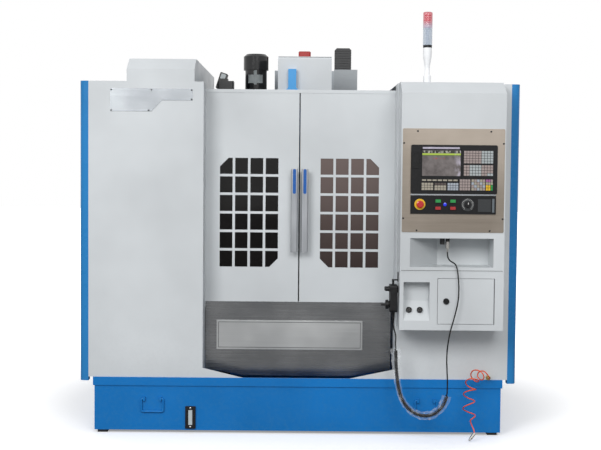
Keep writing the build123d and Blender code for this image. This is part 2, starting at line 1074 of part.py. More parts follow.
def corner_columns():
    posts = []
    for side in (-1, 1):
        inner = side * (enclosure_half - corner_width)
        outer = side * enclosure_half
        post = block(
            min(inner, outer),
            max(inner, outer),
            front_face,
            front_face + corner_width,
            corner_bottom,
            enclosure_top,
        )
        corner = post.edges().filter_by(Axis.Z).group_by(Axis.Y)[0].sort_by(Axis.X)[-1 if side > 0 else 0]
        posts.append(fillet(corner, corner_round))
    return posts


def outer_panels():
    """Side and rear sheets. Each side has a recessed service door outline; the rear carries the cabinet."""
    front = front_face + corner_width
    panels = []
    for side in (-1, 1):
        outer = side * enclosure_half
        inner = side * (enclosure_half - sheet)
        low, high = min(inner, outer), max(inner, outer)
        panel = block(low, high, front, rear_face, rim_top, enclosure_top)
        for y in (front, rear_face - 30):
            flange_inner = side * (enclosure_half - 30)
            thick_low, thick_high = min(flange_inner, outer), max(flange_inner, outer)
            edge = y if y == front else rear_face - 2 * sheet
            panel += block(thick_low, thick_high, edge, edge + sheet, rim_top, enclosure_top - sheet)
        panels.append(panel)
    inside = enclosure_half - sheet
    rear = block(-inside, inside, rear_face - sheet, rear_face, rim_top, enclosure_top - sheet)
    panels.append(rear)
    return panels


def roof_covers():
    """The left roof with the raised magazine hood, and the right roof."""
    low, high = enclosure_top - sheet, enclosure_top
    inside = enclosure_half - sheet
    front, rear = front_face + sheet, rear_face
    left = block(-inside, hood_right, front, rear, low, high)
    hood_rear = front_face + hood_length
    outline = [
        (hood_left, front_face, high),
        (hood_left, front_face, hood_front_high),
        (hood_left, front_face + hood_slope, hood_high),
        (hood_left, hood_rear, hood_high),
        (hood_left, hood_rear, high),
    ]
    hood = prism(outline, (1, 0, 0), hood_right - hood_left)
    inner = [
        (hood_left + sheet, front_face + sheet, low - 1),
        (hood_left + sheet, front_face + sheet, hood_front_high - sheet),
        (hood_left + sheet, front_face + hood_slope + sheet, hood_high - sheet),
        (hood_left + sheet, hood_rear - sheet, hood_high - sheet),
        (hood_left + sheet, hood_rear - sheet, low - 1),
    ]
    left = left + hood - prism(inner, (1, 0, 0), hood_right - hood_left - 2 * sheet)
    right = block(opening_right, inside, front, rear, low, high)
    post_rear = front_face + corner_width
    post_inner = enclosure_half - corner_width
    left -= block(-enclosure_half, -post_inner, front, post_rear, low - 1, high + 1)
    right -= block(post_inner, enclosure_half, front, post_rear, low - 1, high + 1)
    return left, right


def door_track():
    """The header channel above the doors and the sill bar that they run on."""
    front = door_front - slide_gap
    back = front + track_depth
    header = block(-track_end, track_end, front, back, header_low, header_top)
    inside_front, inside_back = front + sheet - 1, back - sheet
    inside_top = header_top - sheet
    header -= block(-track_end - 1, track_end + 1, inside_front, inside_back, header_low - 1, inside_top)
    sill = block(-track_end, track_end, front, back, door_low - 30, door_low - running_gap)
    return header, sill


def front_apron():
    """Polished sheet below the doors, fixed to the sill, with cropped lower corners."""
    y = door_front - slide_gap - sheet
    outline = [
        (apron_left, y, door_low),
        (apron_right, y, door_low),
        (apron_right, y, apron_side_low),
        (apron_flat_right, y, apron_low),
        (apron_flat_left, y, apron_low),
        (apron_left, y, apron_side_low),
    ]
    return prism(outline, (0, 1, 0), sheet)


def inner_guards():
    """Sheets round the work area: a front return, a side and a rear wall each side."""
    front = door_front - slide_gap + track_depth
    guards = []
    for side in (-1, 1):
        outer = side * guard_half
        inner = side * (guard_half - sheet)
        opening = opening_left - 10 if side < 0 else opening_right + 10
        rear_end = axis_x + side * (column_half_foot + 5)
        wall = block(
            min(outer, inner), max(outer, inner), front, guard_rear, tank_plate_top, guard_top
        )
        low, high = min(outer, opening), max(outer, opening)
        wall += block(low, high, front, front + sheet, tank_plate_top, guard_top)
        low, high = min(outer, rear_end), max(outer, rear_end)
        wall += block(low, high, guard_rear - sheet, guard_rear, bed_top, guard_rear_top)
        bed_side = axis_x + side * (bed_half_foot + bed_tank_gap)
        low, high = min(outer, bed_side), max(outer, bed_side)
        wall += block(low, high, guard_rear - sheet, guard_rear, tank_plate_top, bed_top)
        guards.append(wall)
    return guards


# Doors
def pane_sizes():
    width = (window_outer - window_inner - (window_columns - 1) * window_bar) / window_columns
    height = (window_high - window_low - (window_rows - 1) * window_bar) / window_rows
    return width, height


def door_panel(side):
    """A sliding door: a folded pan with a grid of panes, two of the window's corners cropped."""
    near = side * meeting_gap / 2
    far = door_right_edge if side > 0 else door_left_edge
    x_low, x_high = min(near, far), max(near, far)
    door = block(x_low, x_high, door_front, door_back, door_low, door_high)
    door -= block(
        x_low + sheet,
        x_high - sheet,
        door_front + sheet,
        door_back + 1,
        door_low + sheet,
        door_high - sheet,
    )
    pane_width, pane_height = pane_sizes()
    holes = Sketch()
    for column in range(window_columns):
        for row in range(window_rows):
            x = side * (window_inner + column * (pane_width + window_bar) + pane_width / 2)
            z = window_low + row * (pane_height + window_bar) + pane_height / 2
            holes += Pos(x, z) * Rectangle(pane_width, pane_height)
    inner, outer = side * window_inner, side * window_outer
    shape = Polygon(
        (inner, window_low + window_corner),
        (inner + side * window_corner, window_low),
        (outer, window_low),
        (outer, window_high - window_corner),
        (outer - side * window_corner, window_high),
        (inner, window_high),
        align=None,
    )
    holes = holes & shape
    plane = Plane(origin=(0, door_front - 1, 0), x_dir=(1, 0, 0), z_dir=(0, -1, 0))
    return door - extrude(plane * holes, amount=-(sheet + 2))


def door_window(side):
    inner = side * (window_inner - glass_margin)
    outer = side * (window_outer + glass_margin)
    front = door_front + sheet
    return block(
        min(inner, outer),
        max(inner, outer),
        front,
        front + glass_thickness,
        window_low - glass_margin,
        window_high + glass_margin,
    )


def door_handle(x):
    """A flat bar on two posts, with a long recess for the coloured insert near its top."""
    half = handle_bar_width / 2
    front = door_front - handle_standoff - handle_bar_thick
    bar = block(x - half, x + half, front, front + handle_bar_thick, handle_low, handle_high)
    bar = fillet(bar.edges().filter_by(Axis.Z), 5)
    slot = SlotCenterToCenter(insert_length - insert_width, insert_width, rotation=90)
    plane = Plane(origin=(x, front, handle_high - insert_length / 2), x_dir=(1, 0, 0), z_dir=(0, -1, 0))
    bar -= extrude(plane * slot, amount=-insert_depth)
    for z in (handle_low + 40, handle_high - 40):
        bar += rod_y(x, z, door_front - handle_standoff - 1, door_front, handle_post)
    return bar


# Control box
def control_box():
    back = front_face
    skin = [
        (box_left, back, box_low),
        (box_left, box_front, box_low),
        (box_left, box_front, box_front_high),
        (box_left, box_front + box_slope, box_high),
        (box_left, back, box_high),
    ]
    box = prism(skin, (1, 0, 0), box_right - box_left)
    inner = [
        (box_left + sheet, back, box_low + sheet),
        (box_left + sheet, box_front + sheet, box_low + sheet),
        (box_left + sheet, box_front + sheet, box_front_high - sheet),
        (box_left + sheet, box_front + box_slope, box_high - sheet),
        (box_left + sheet, back, box_high - sheet),
    ]
    box -= prism(inner, (1, 0, 0), box_right - box_left - 2 * sheet)
    box += cubby_tray(sheet)
    box -= cubby_tray(0)
    box += pocket_tray(sheet)
    box -= pocket_tray(0)
    box += store_tray(sheet)
    box -= store_tray(0)
    box -= block(store_left, store_right, box_front - 1, box_front + sheet + 1, store_low, store_high)
    box += store_pivots()
    seam_low, seam_high = seam_height - seam_width / 2, seam_height + seam_width / 2
    box -= block(box_left - 1, box_right + 1, box_front - 1, box_front + 1, seam_low, seam_high)
    box -= block(box_left - 1, box_left + 1, box_front - 1, back + 1, seam_low, seam_high)
    return box


def cubby_tray(wall):
    """The open cubby under the control plate, with its left wall set on a slant."""
    y = box_front if wall else box_front - 1
    rear = box_front + cubby_depth
    low, high = cubby_low - wall, cubby_high + wall
    outline = [
        (cubby_left - wall, y, low),
        (cubby_right + wall, y, low),
        (cubby_right + wall, rear + wall, low),
        (cubby_left + cubby_slant - wall, rear + wall, low),
        (cubby_left - wall, box_front, low),
    ]
    if wall:
        outline.pop()
    return prism(outline, (0, 0, 1), high - low)


def pocket_tray(wall):
    """The socket pocket: a straight upper back and a lower face that slopes out to the front."""
    rear = box_front + pocket_depth
    x = pocket_left - wall
    outline = [
        (x, box_front, pocket_low - wall),
        (x, rear + wall, pocket_break - wall),
        (x, rear + wall, pocket_high + wall),
        (x, box_front, pocket_high + wall),
    ]
    if not wall:
        outline += [(x, box_front - 1, pocket_high), (x, box_front - 1, pocket_low)]
    return prism(outline, (1, 0, 0), pocket_right - pocket_left + 2 * wall)


def store_tray(wall):
    """The storage compartment, a little larger than its door opening so that a lip is left."""
    lip = store_lip
    return block(
        store_left - lip - wall,
        store_right + lip + wall,
        box_front + sheet,
        box_front + store_depth + wall,
        store_low - lip - wall,
        store_high + lip + wall,
    )


def store_axis():
    """Where the storage door turns: inside its rounded right edge."""
    radius = store_door_thick / 2
    return store_right - store_gap - radius, box_front + radius


def store_pivots():
    x, y = store_axis()
    radius = store_door_thick / 2
    front, back = box_front + sheet, box_front + store_door_thick
    blocks = []
    for low, high in ((store_low - store_lip, store_low), (store_high, store_high + store_lip)):
        ear = block(x - radius, store_right + store_lip, front, back, low, high)
        ear -= rod_z(x, y, low - 1, high + 1, radius / 2 + running_gap)
        blocks.append(ear)
    return blocks[0] + blocks[1]


def storage_door():
    x, y = store_axis()
    radius = store_door_thick / 2
    low, high = store_low + store_gap, store_high - store_gap
    door = block(store_left + store_gap, x, box_front, box_front + store_door_thick, low, high)
    door += rod_z(x, y, low, high, radius)
    door += rod_z(x, y, store_low - store_lip + 2, store_high + store_lip - 2, radius / 2)
    back = box_front + store_door_thick
    return door - rod_y(latch_x, latch_z, box_front - 1, back + 1, latch_stem + running_gap)


def storage_latch():
    """A quarter-turn knob in front; its cam hangs down when open and lies behind the left lip when shut."""
    back = box_front + store_door_thick + cam_gap
    knob = rod_y(latch_x, latch_z, box_front - 7, box_front - running_gap, latch_radius)
    grip = block(latch_x - 3, latch_x + 3, box_front - 12, box_front - 6, latch_z - 11, latch_z + 11)
    stem = rod_y(latch_x, latch_z, box_front - 1, back + 1, latch_stem)
    cam_left, cam_right = latch_x - cam_half_width, latch_x + cam_half_width
    cam = block(cam_left, cam_right, back, back + cam_thick, latch_z - cam_length, latch_z + cam_half_width)
    return knob + grip + stem + cam


def control_plate():
    plate = block(
        box_left + plate_margin, box_right - plate_margin, plate_front, box_front, plate_low, plate_high
    )
    return fillet(plate.edges().filter_by(Axis.Y), 6)


def cnc_unit():
    """The control unit's bezel with its screen and key fields, and the switch panel under it."""
    front = plate_front - unit_thick
    bezel = block(unit_left, unit_right, front, plate_front, unit_low, unit_high)
    bezel = fillet(bezel.edges().filter_by(Axis.Y), 8)
    bezel -= block(screen_left, screen_right, front - 1, front + screen_recess, screen_low, screen_high)
    recess_left, recess_right = flap_left - 1, flap_left + flap_width + 1
    recess_low, recess_high = flap_low - 1, flap_low + flap_height + 1
    bezel -= block(recess_left, recess_right, front - 1, front + flap_thick, recess_low, recess_high)
    bezel += flap_ears()
    for field in key_fields():
        x_low, x_high, z_low, z_high = field
        bezel += block(x_low, x_high, front - key_raise, front, z_low, z_high)
    switch_front = plate_front - switch_thick
    panel = block(switch_left, switch_right, switch_front, plate_front, switch_low, switch_high)
    for x in button_columns:
        for z in button_rows:
            panel += button_frame(x, z, switch_front)
            panel -= rod_y(x, z, switch_front - 3, plate_front - 1, 6 + running_gap)
    panel += rod_y(indicator_x, stop_z, switch_front - indicator_height, switch_front + 1, indicator_radius)
    panel -= rod_y(stop_x, stop_z, switch_front - 1, plate_front - 1, 8 + running_gap)
    panel -= rod_y(knob_x, stop_z, switch_front - 1, plate_front - 1, 5 + running_gap)
    ring = rod_y(stop_x, stop_z, switch_front - ring_height, switch_front, stop_ring)
    ring -= rod_y(stop_x, stop_z, switch_front - 4, switch_front + 1, 8 + running_gap)
    return bezel, panel, ring


def key_fields():
    return (
        (keys_left, keys_right, keys_middle + keys_gap / 2, keys_high),
        (keys_left, keys_right, keys_low, keys_middle - keys_gap / 2),
        (field_left, keys_right, field_low, field_high),
    )


def button_frame(x, z, switch_front):
    half_width, half_height = button_width / 2, button_height / 2
    return block(
        x - half_width,
        x + half_width,
        switch_front - button_rim,
        switch_front + 1,
        z - half_height,
        z + half_height,
    )


def push_button(x, z):
    switch_front = plate_front - switch_thick
    half_width, half_height = button_width / 2 - button_rim, button_height / 2 - button_rim
    near = switch_front - button_rim - button_travel - running_gap
    cap = block(x - half_width, x + half_width, near - 4, near, z - half_height, z + half_height)
    cap = fillet(cap.edges().filter_by(Axis.Y), 2)
    return cap + rod_y(x, z, near - 1, plate_front - 1 - button_travel, 6)


def emergency_stop():
    """A mushroom head that is pressed in and turned to release."""
    switch_front = plate_front - switch_thick
    under = switch_front - ring_height - stop_travel - running_gap
    stem = rod_y(stop_x, stop_z, under - 2, plate_front - 1 - stop_travel, 8)
    head = rod_y(stop_x, stop_z, under - stop_head, under, stop_radius)
    rim = head.faces().sort_by(Axis.Y)[0].edges()
    return chamfer(rim, stop_crown, 2 * stop_crown) + stem


def override_knob():
    switch_front = plate_front - switch_thick
    near = switch_front - running_gap
    knob = rod_y(knob_x, stop_z, near - 17, near - 3, knob_radius - 2)
    skirt = rod_y(knob_x, stop_z, near - 4, near, knob_radius)
    grip_half = knob_radius - 3
    grip = block(knob_x - 4, knob_x + 4, near - 22, near - 16, stop_z - grip_half, stop_z + grip_half)
    return knob + skirt + grip + rod_y(knob_x, stop_z, near - 1, plate_front - 2, 5)


def flap_axis():
    front = plate_front - unit_thick
    return front + flap_thick / 2, flap_low + flap_thick / 2


def flap_ears():
    """Two ears at the foot of the card recess that hold the flap's pivot pins."""
    y, z = flap_axis()
    front = plate_front - unit_thick
    ears = []
    for x in (flap_left - 1, flap_left + flap_width - 2):
        ear = block(x, x + 3, front, front + flap_thick, flap_low - 1, flap_low + 3)
        ears.append(ear - rod_x(y, z, x - 1, x + 4, 0.8 + running_gap / 2))
    return ears[0] + ears[1]


def card_flap():
    y, z = flap_axis()
    front = plate_front - unit_thick
    x_low, x_high = flap_left + 2.4, flap_left + flap_width - 2.4
    flap = block(x_low, x_high, front, front + flap_thick, z, flap_low + flap_height)
    flap += rod_x(y, z, x_low, x_high, flap_thick / 2)
    return flap + rod_x(y, z, flap_left - 0.6, flap_left + flap_width + 0.6, 0.8)


def panel_fittings():
    """Cable socket and blind cap in the cubby's ceiling, pocket sockets, and the air hose fitting."""
    socket = rod_z(socket_x, socket_y, cubby_high - 4, cubby_high, 17)
    socket += rod_z(socket_x, socket_y, plug_top, cubby_high - 3, 10)
    cap = rod_z(socket_x - 27, socket_y, cubby_high - 35, cubby_high, 12)
    slope = math.atan2(pocket_depth, pocket_break - pocket_low)
    pieces = [socket, cap]
    for x in (pocket_left + 30, pocket_left + 84):
        middle_z = (pocket_low + pocket_break) / 2
        middle_y = box_front + pocket_depth / 2
        outwards = (0, -math.cos(slope), math.sin(slope))
        place = Plane(origin=(x, middle_y, middle_z), x_dir=(1, 0, 0), z_dir=outwards)
        pieces.append(place * Pos(0, 0, 5) * Cylinder(14, 10))
    fitting = rod_y(hose_exit[0], hose_exit[2], front_face - 14, front_face, 11)
    fitting += rod_y(hose_exit[0], hose_exit[2], hose_exit[1], front_face - 13, 7)
    pieces.append(fitting)
    return pieces


# Signal lamp
def signal_lamp():
    """Pole with a collar, flaring up to a pale lens, with a red lens on it."""
    base = turned_z(
        lamp_x,
        lamp_y,
        (
            (0, box_high),
            (collar_radius, box_high),
            (collar_radius, box_high + collar_height),
            (pole_radius, box_high + collar_height + 8),
            (pole_radius, lens_low - pole_flare - 45),
            (lamp_radius - 2, lens_low - pole_flare),
            (lamp_radius - 1, lens_low - 8),
            (lamp_radius - 1, lens_low),
            (0, lens_low),
        ),
    )
    pale = rod_z(lamp_x, lamp_y, lens_low, lens_split, lamp_radius)
    red = rod_z(lamp_x, lamp_y, lens_split, lamp_top, lamp_radius)
    red = chamfer(red.faces().sort_by(Axis.Z)[-1].edges(), 3)
    return base, pale, red


# Hand pendant
def pendant_body():
    front = pendant_back - pendant_depth
    y_low, y_high = pendant_y - pendant_width / 2, pendant_y + pendant_width / 2
    body = block(front, pendant_back, y_low, y_high, pendant_low, pendant_high)
    body = fillet(body.edges().filter_by(Axis.X), 12)
    for side in (-1, 1):
        y = pendant_y + side * pendant_knob_spread
        body -= rod_x(y, pendant_knob_z, front - 1, front + 12, 4 + running_gap)
    body -= rod_x(pendant_y, wheel_z, front - 1, front + 12, 6 + running_gap)
    hanger_low, hanger_high = pendant_high - 40, pendant_high - 8
    hanger = block(pendant_back - 1, box_left, pendant_y - 18, pendant_y + 18, hanger_low, hanger_high)
    hook_low, hook_high = pendant_high, pendant_high + 26
    hook_left = pendant_back - 24
    hook = block(hook_left, hook_left + 10, pendant_y - 10, pendant_y + 10, hook_low - 1, hook_high)
    hook += block(hook_left, box_left, pendant_y - 10, pendant_y + 10, hook_high - 6, hook_high)
    hook += block(box_left - 4, box_left, pendant_y - 14, pendant_y + 14, hook_high - 12, hook_high + 36)
    relief = turned_z(
        lead_route[0][0],
        lead_route[0][1],
        (
            (0, lead_route[0][2]),
            (cord_radius + 1.5, lead_route[0][2]),
            (8, pendant_low - 12),
            (10, pendant_low),
            (10, pendant_low + 2),
            (0, pendant_low + 2),
        ),
    )
    return body + hanger + hook + relief


def pendant_knob(side):
    front = pendant_back - pendant_depth
    y = pendant_y + side * pendant_knob_spread
    knob = rod_x(y, pendant_knob_z, front - 22, front - 1, pendant_knob_radius - 2)
    skirt = rod_x(y, pendant_knob_z, front - 6, front - running_gap, pendant_knob_radius)
    pointer = block(front - 25, front - 21, y - 2, y + 2, pendant_knob_z - 8, pendant_knob_z + 8)
    return knob + skirt + pointer + rod_x(y, pendant_knob_z, front - 1, front + 10, 4)


def handwheel():
    front = pendant_back - pendant_depth
    wheel = rod_x(pendant_y, wheel_z, front - 20, front - 6, wheel_radius)
    rim = wheel.faces().sort_by(Axis.X)[0].edges()
    wheel = chamfer(rim, 2)
    hub = rod_x(pendant_y, wheel_z, front - 7, front - running_gap, wheel_radius - 6)
    pin = rod_x(pendant_y - crank_reach, wheel_z, front - 44, front - 19, 4.5)
    return wheel + hub + pin + rod_x(pendant_y, wheel_z, front - 1, front + 10, 6)


# Electrical cabinet
def electrical_cabinet():
    """A steel box on the rear panel, with a mounting plate and drive units inside."""
    front, rear = rear_face, rear_face + cabinet_depth
    wall = cabinet_sheet
    case = block(-cabinet_half, cabinet_half, front, rear, cabinet_low, cabinet_top)
    inside = cabinet_half - wall
    case -= block(-inside, inside, front + wall, rear + 1, cabinet_low + wall, cabinet_top - wall)
    x, y = cabinet_axis()
    for z in (cabinet_low + hinge_inset, cabinet_top - hinge_inset):
        knuckle = rod_z(x, y, z - 30, z, 8)
        knuckle += block(-cabinet_half - 8, -cabinet_half + 1, rear - 30, y, z - 30, z)
        case += knuckle - rod_z(x, y, z - 31, z + 1, 4)
    plate_y = front + wall
    equipment = block(
        -cabinet_half + plate_inset,
        cabinet_half - plate_inset,
        plate_y,
        plate_y + mount_plate,
        cabinet_low + plate_inset,
        cabinet_top - plate_inset,
    )
    pieces = [case, equipment]
    front = plate_y + mount_plate
    drives_high = cabinet_top - drive_inset
    for index in range(drive_count):
        low = -cabinet_half + drive_inset + index * drive_pitch
        high = low + drive_width
        drive = block(low, high, front, front + drive_depth, drives_high - drive_height, drives_high)
        pieces.append(drive)
    row_left, row_right = -cabinet_half + drive_inset, cabinet_half - drive_inset
    for z in (cabinet_low + row_rise, cabinet_low + 2 * row_rise):
        pieces.append(block(row_left, row_right, front, front + row_depth, z, z + row_height))
    return pieces


def cabinet_axis():
    return -cabinet_half - 4, rear_face + cabinet_depth + running_gap + cabinet_door_thick / 2


def cabinet_door():
    x, y = cabinet_axis()
    rear = rear_face + cabinet_depth
    low = rear + running_gap
    door = block(x, cabinet_half, low, low + cabinet_door_thick, cabinet_low, cabinet_top)
    door -= block(
        x + 40, cabinet_half - 20, low - 1, low + cabinet_door_thick - 3, cabinet_low + 20, cabinet_top - 20
    )
    for z in (cabinet_low + hinge_inset, cabinet_top - hinge_inset):
        door -= block(x - 10, x + 14, low - 10, low + 30, z - 30 - running_gap, z + running_gap)
        door += rod_z(x, y, z - 40, z + 10, 3.7)
    right = cabinet_half - cabinet_handle_inset
    middle = (cabinet_low + cabinet_top) / 2 + cabinet_handle_rise
    handle = block(
        right - cabinet_handle_width,
        right,
        low + cabinet_door_thick - 1,
        low + cabinet_door_thick + cabinet_handle_proud,
        middle - cabinet_handle_length / 2,
        middle + cabinet_handle_length / 2,
    )
    return door + handle


# Cords and hose: each point is chosen by hand along the cord's real route
lead_route = (
    (478, -920, 591),
    (480, -920, 571),
    (487, -921, 551),
    (492, -922, 530),
    (492, -924, 509),
    (490, -927, 490),
    (492, -932, 472),
)
curl_route = (
    (492, -932, 472),
    (492, -942, 415),
    (494, -952, 365),
    (499, -962, 315),
    (506, -972, 266),
    (519, -981, 222),
    (546, -989, 180),
    (584, -998, 151),
    (629, -1008, 139),
    (673, -1018, 149),
    (710, -1028, 180),
    (733, -1036, 222),
    (741, -1040, 262),
)
cable_route = (
    (741, -1040, 262),
    (741, -1041, 305),
    (739, -1042, 350),
    (736, -1042, 395),
    (735, -1042, 440),
    (737, -1042, 485),
    (743, -1042, 529),
    (751, -1042, 573),
    (764, -1042, 617),
    (775, -1042, 661),
    (785, -1042, 705),
    (790, -1042, 749),
    (790, -1041, 792),
    (787, -1040, 834),
    (783, -1037, 868),
    (778, -1027, 893),
    (771, -1007, 905),
    (763, -983, 908),
    (755, -960, 913),
    (748, -942, 923),
    (745, -932, 938),
    (745, -930, 956),
)
hose_exit = (978, -846, 301)
hose_lead_route = (
    (978, -846, 301),
    (978, -862, 302),
    (976, -877, 309),
    (970, -888, 320),
    (957, -892, 330),
)
hose_coil_route = (
    (957, -892, 330),
    (925, -889, 336),
    (897, -887, 320),
    (880, -888, 285),
    (873, -892, 245),
    (869, -896, 205),
    (868, -902, 165),
    (869, -909, 126),
    (876, -918, 92),
)
hose_tail_route = (
    (876, -918, 92),
    (882, -924, 76),
    (889, -931, 62),
    (893, -938, 50),
    (892, -944, 40),
)
coupler_route = ((892, -944, 40), (864, -966, 10))
socket_x = cable_route[-1][0]
socket_y = cable_route[-1][1]
plug_top = 1007


def corner_radii(route):
    """For each inner point, the largest arc that its two runs allow."""
    radii = []
    for before, here, after in zip(route, route[1:], route[2:]):
        arriving = Vector(*here) - Vector(*before)
        leaving = Vector(*after) - Vector(*here)
        turn = math.radians(arriving.get_angle(leaving))
        shorter = min(arriving.length, leaving.length)
        radii.append(0.45 * shorter / math.tan(turn / 2))
    return radii


def tube(name, route, radius):
    radii = corner_radii(route)
    print(name, "radii", [round(value) for value in radii])
    path = FilletPolyline(*route, radius=radii)
    start = Plane(origin=path @ 0, z_dir=path % 0)
    solid = sweep(start * Circle(radius), path=path)
    share = solid.volume / (math.pi * radius**2 * path.length)
    print(name, "length", round(path.length), "volume over section times length", round(share, 4))
    return solid


def cable_plug():
    low = cable_route[-1][2]
    profile = (
        (0, low),
        (cord_radius + 1, low),
        (7, low + 16),
        (11, low + 18),
        (11, plug_top),
        (0, plug_top),
    )
    return turned_z(socket_x, socket_y, profile)


def hose_coupler():
    start, end = (Vector(*point) for point in coupler_route)
    along = Plane(origin=start, z_dir=end - start)
    length = (end - start).length
    body = along * Pos(0, 0, length * 0.35) * Cylinder(8, length * 0.7)
    return body + along * Pos(0, 0, length * 0.84) * Cylinder(5, length * 0.32)


os.makedirs("parts", exist_ok=True)

save("machine_bed", machine_bed())
save("support_feet", *support_feet())
save("guide_rails", *guide_rails())
save("machine_column", machine_column())
save("feed_motors", *feed_motors())
save("coolant_tank", coolant_tank(), level_gauge())
save("front_panels", *front_panels())
save("corner_columns", *corner_columns())
save("outer_panels", *outer_panels())
save("roof_covers", *roof_covers())
save("inner_guards", *inner_guards())
save("door_track", *door_track())
save("front_apron", front_apron())
save("control_box", control_box())
save("control_plate", control_plate())
save("cnc_unit", *cnc_unit())
save("panel_fittings", *panel_fittings())
save("signal_lamp", *signal_lamp())
save("cable_duct", *cable_duct())
save("changer_drive", *changer_drive())
save("magazine_frame", *magazine_frame())
save("electrical_cabinet", *electrical_cabinet())
save("pendant_body", pendant_body())

for side_name, side in (("left", -1), ("right", 1)):
    save(f"{side_name}_door", door_panel(side))
    save(f"{side_name}_window", door_window(side))
save("left_handle", door_handle(handle_left_x))
save("right_handle", door_handle(handle_right_x))

save("saddle", *saddle())
save("work_table", work_table())
save("spindle_head", *spindle_head())
save("head_cover", head_cover())
save("spindle", spindle())
save("x_screw", x_screw())
save("y_screw", y_screw())
save("z_screw", z_screw())
save("changer_arm", changer_arm())
save("magazine_disc", magazine_disc())

save("storage_door", storage_door())
save("storage_latch", storage_latch())
save("emergency_stop", emergency_stop())
button_names = (("start_button", "resume_button"), ("stop_button", "hold_button"))
for row, z in enumerate(button_rows):
    for column, x in enumerate(button_columns):
        save(button_names[row][column], push_button(x, z))
save("override_knob", override_knob())
save("card_flap", card_flap())
save("axis_knob", pendant_knob(-1))
save("step_knob", pendant_knob(1))
save("handwheel", handwheel())
for side_name, place in zip(("left", "right"), handle_places):
    save(f"{side_name}_tank_handle", tank_handle(place))
save("cabinet_door", cabinet_door())

save("pendant_lead", tube("pendant_lead", lead_route, cord_radius))
save("curly_cord", tube("curly_cord", curl_route, curl_radius))
save("socket_cable", tube("socket_cable", cable_route, cord_radius))
save("cable_plug", cable_plug())
hose = tube("hose lead", hose_lead_route, hose_radius)
hose += tube("hose coil", hose_coil_route, hose_coil_radius)
hose += tube("hose tail", hose_tail_route, hose_radius)
save("air_hose", hose)
save("hose_coupler", hose_coupler())
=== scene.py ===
# %% [markdown]
# # Dressing a machining centre
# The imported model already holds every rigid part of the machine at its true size: the enclosure, the
# sliding doors, the control box, the tank and all that works inside. A designer's model says nothing
# about how those parts look, so this lesson gives them paint, steel, glass and rubber, adds the small
# parts that a solid model leaves out, hangs the two cords, and sets up a plain studio.

# %% The frame
import math
import random

import bmesh
import bpy
from mathutils import Matrix, Vector


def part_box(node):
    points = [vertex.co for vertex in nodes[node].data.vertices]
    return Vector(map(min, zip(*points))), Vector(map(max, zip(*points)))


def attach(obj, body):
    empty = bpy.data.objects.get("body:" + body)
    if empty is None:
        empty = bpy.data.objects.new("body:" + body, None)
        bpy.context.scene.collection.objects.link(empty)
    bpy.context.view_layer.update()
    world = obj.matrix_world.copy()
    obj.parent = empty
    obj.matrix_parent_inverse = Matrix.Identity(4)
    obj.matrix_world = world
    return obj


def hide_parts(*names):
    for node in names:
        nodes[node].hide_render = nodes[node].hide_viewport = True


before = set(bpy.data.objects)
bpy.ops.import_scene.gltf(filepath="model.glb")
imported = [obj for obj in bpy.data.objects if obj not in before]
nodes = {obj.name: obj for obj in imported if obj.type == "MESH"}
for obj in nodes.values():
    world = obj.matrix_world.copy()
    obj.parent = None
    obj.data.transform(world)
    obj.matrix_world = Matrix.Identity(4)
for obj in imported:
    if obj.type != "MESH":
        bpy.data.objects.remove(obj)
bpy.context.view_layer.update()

scene = bpy.context.scene
print("nodes in the frame:", len(nodes))

# %% [markdown]
# ## The camera
# A machine this size is photographed from a few metres away with a short telephoto lens, so its sides
# stay almost upright. The lens stands at about eye height, looks a little down and is not quite level,
# and a plain turned camera gives that. Moving the picture with lens shift would also frame it, but then
# every other view would sit off centre.

# %% Camera
picture_width, focal_pixels = 601, 1176
camera_place, tilt, roll, turn = (0.0, -6.81, 1.38), -2.88, 0.5, -0.07
camera_data = bpy.data.cameras.new("camera")
camera_data.sensor_width = 36
camera_data.lens = camera_data.sensor_width * focal_pixels / picture_width
camera_data.clip_end = 60
camera = bpy.data.objects.new("camera", camera_data)
scene.collection.objects.link(camera)
aim = Matrix.Rotation(math.radians(turn), 4, "Z") @ Matrix.Rotation(math.radians(90 + tilt), 4, "X")
camera.matrix_world = Matrix.Translation(camera_place) @ aim @ Matrix.Rotation(math.radians(roll), 4, "Z")
scene.camera = camera
print("lens in millimetres:", round(camera_data.lens, 1))

# %% [markdown]
# ## The pendant's cord
# One cord runs from the hand pendant to the socket in the cubby: a straight lead, a curly part and a
# straight length up to the plug. Points could be placed on every turn of the curl by hand, but it is
# easier to walk along the middle of the curl and step round it. So the route's points make a smooth curve
# first, that curve is read back as a line, and the turns are wound round the line. The whole cord is then
# one curve again.

# %% Routes, in millimetres
lead_route = (
    (478, -920, 591), (480, -920, 571), (487, -921, 551), (492, -922, 530), (492, -924, 509),
    (490, -927, 490), (492, -932, 472),
)
curl_route = (
    (492, -932, 472), (492, -942, 415), (494, -952, 365), (499, -962, 315), (506, -972, 266),
    (519, -981, 222), (546, -989, 180), (584, -998, 151), (629, -1008, 139), (673, -1018, 149),
    (710, -1028, 180), (733, -1036, 222), (741, -1040, 262),
)
cable_route = (
    (741, -1040, 262), (741, -1041, 305), (739, -1042, 350), (736, -1042, 395), (735, -1042, 440),
    (737, -1042, 485), (743, -1042, 529), (751, -1042, 573), (764, -1042, 617), (775, -1042, 661),
    (785, -1042, 705), (790, -1042, 749), (790, -1041, 792), (787, -1040, 834), (783, -1037, 868),
    (778, -1027, 893), (771, -1007, 905), (763, -983, 908), (755, -960, 913), (748, -942, 923),
    (745, -932, 938), (745, -930, 956),
)
hose_lead_route = (
    (978, -846, 301), (978, -862, 302), (976, -877, 309), (970, -888, 320), (957, -892, 330),
)
hose_coil_route = (
    (957, -892, 330), (925, -889, 336), (897, -887, 320), (880, -888, 285), (873, -892, 245),
    (869, -896, 205), (868, -902, 165), (869, -909, 126), (876, -918, 92),
)
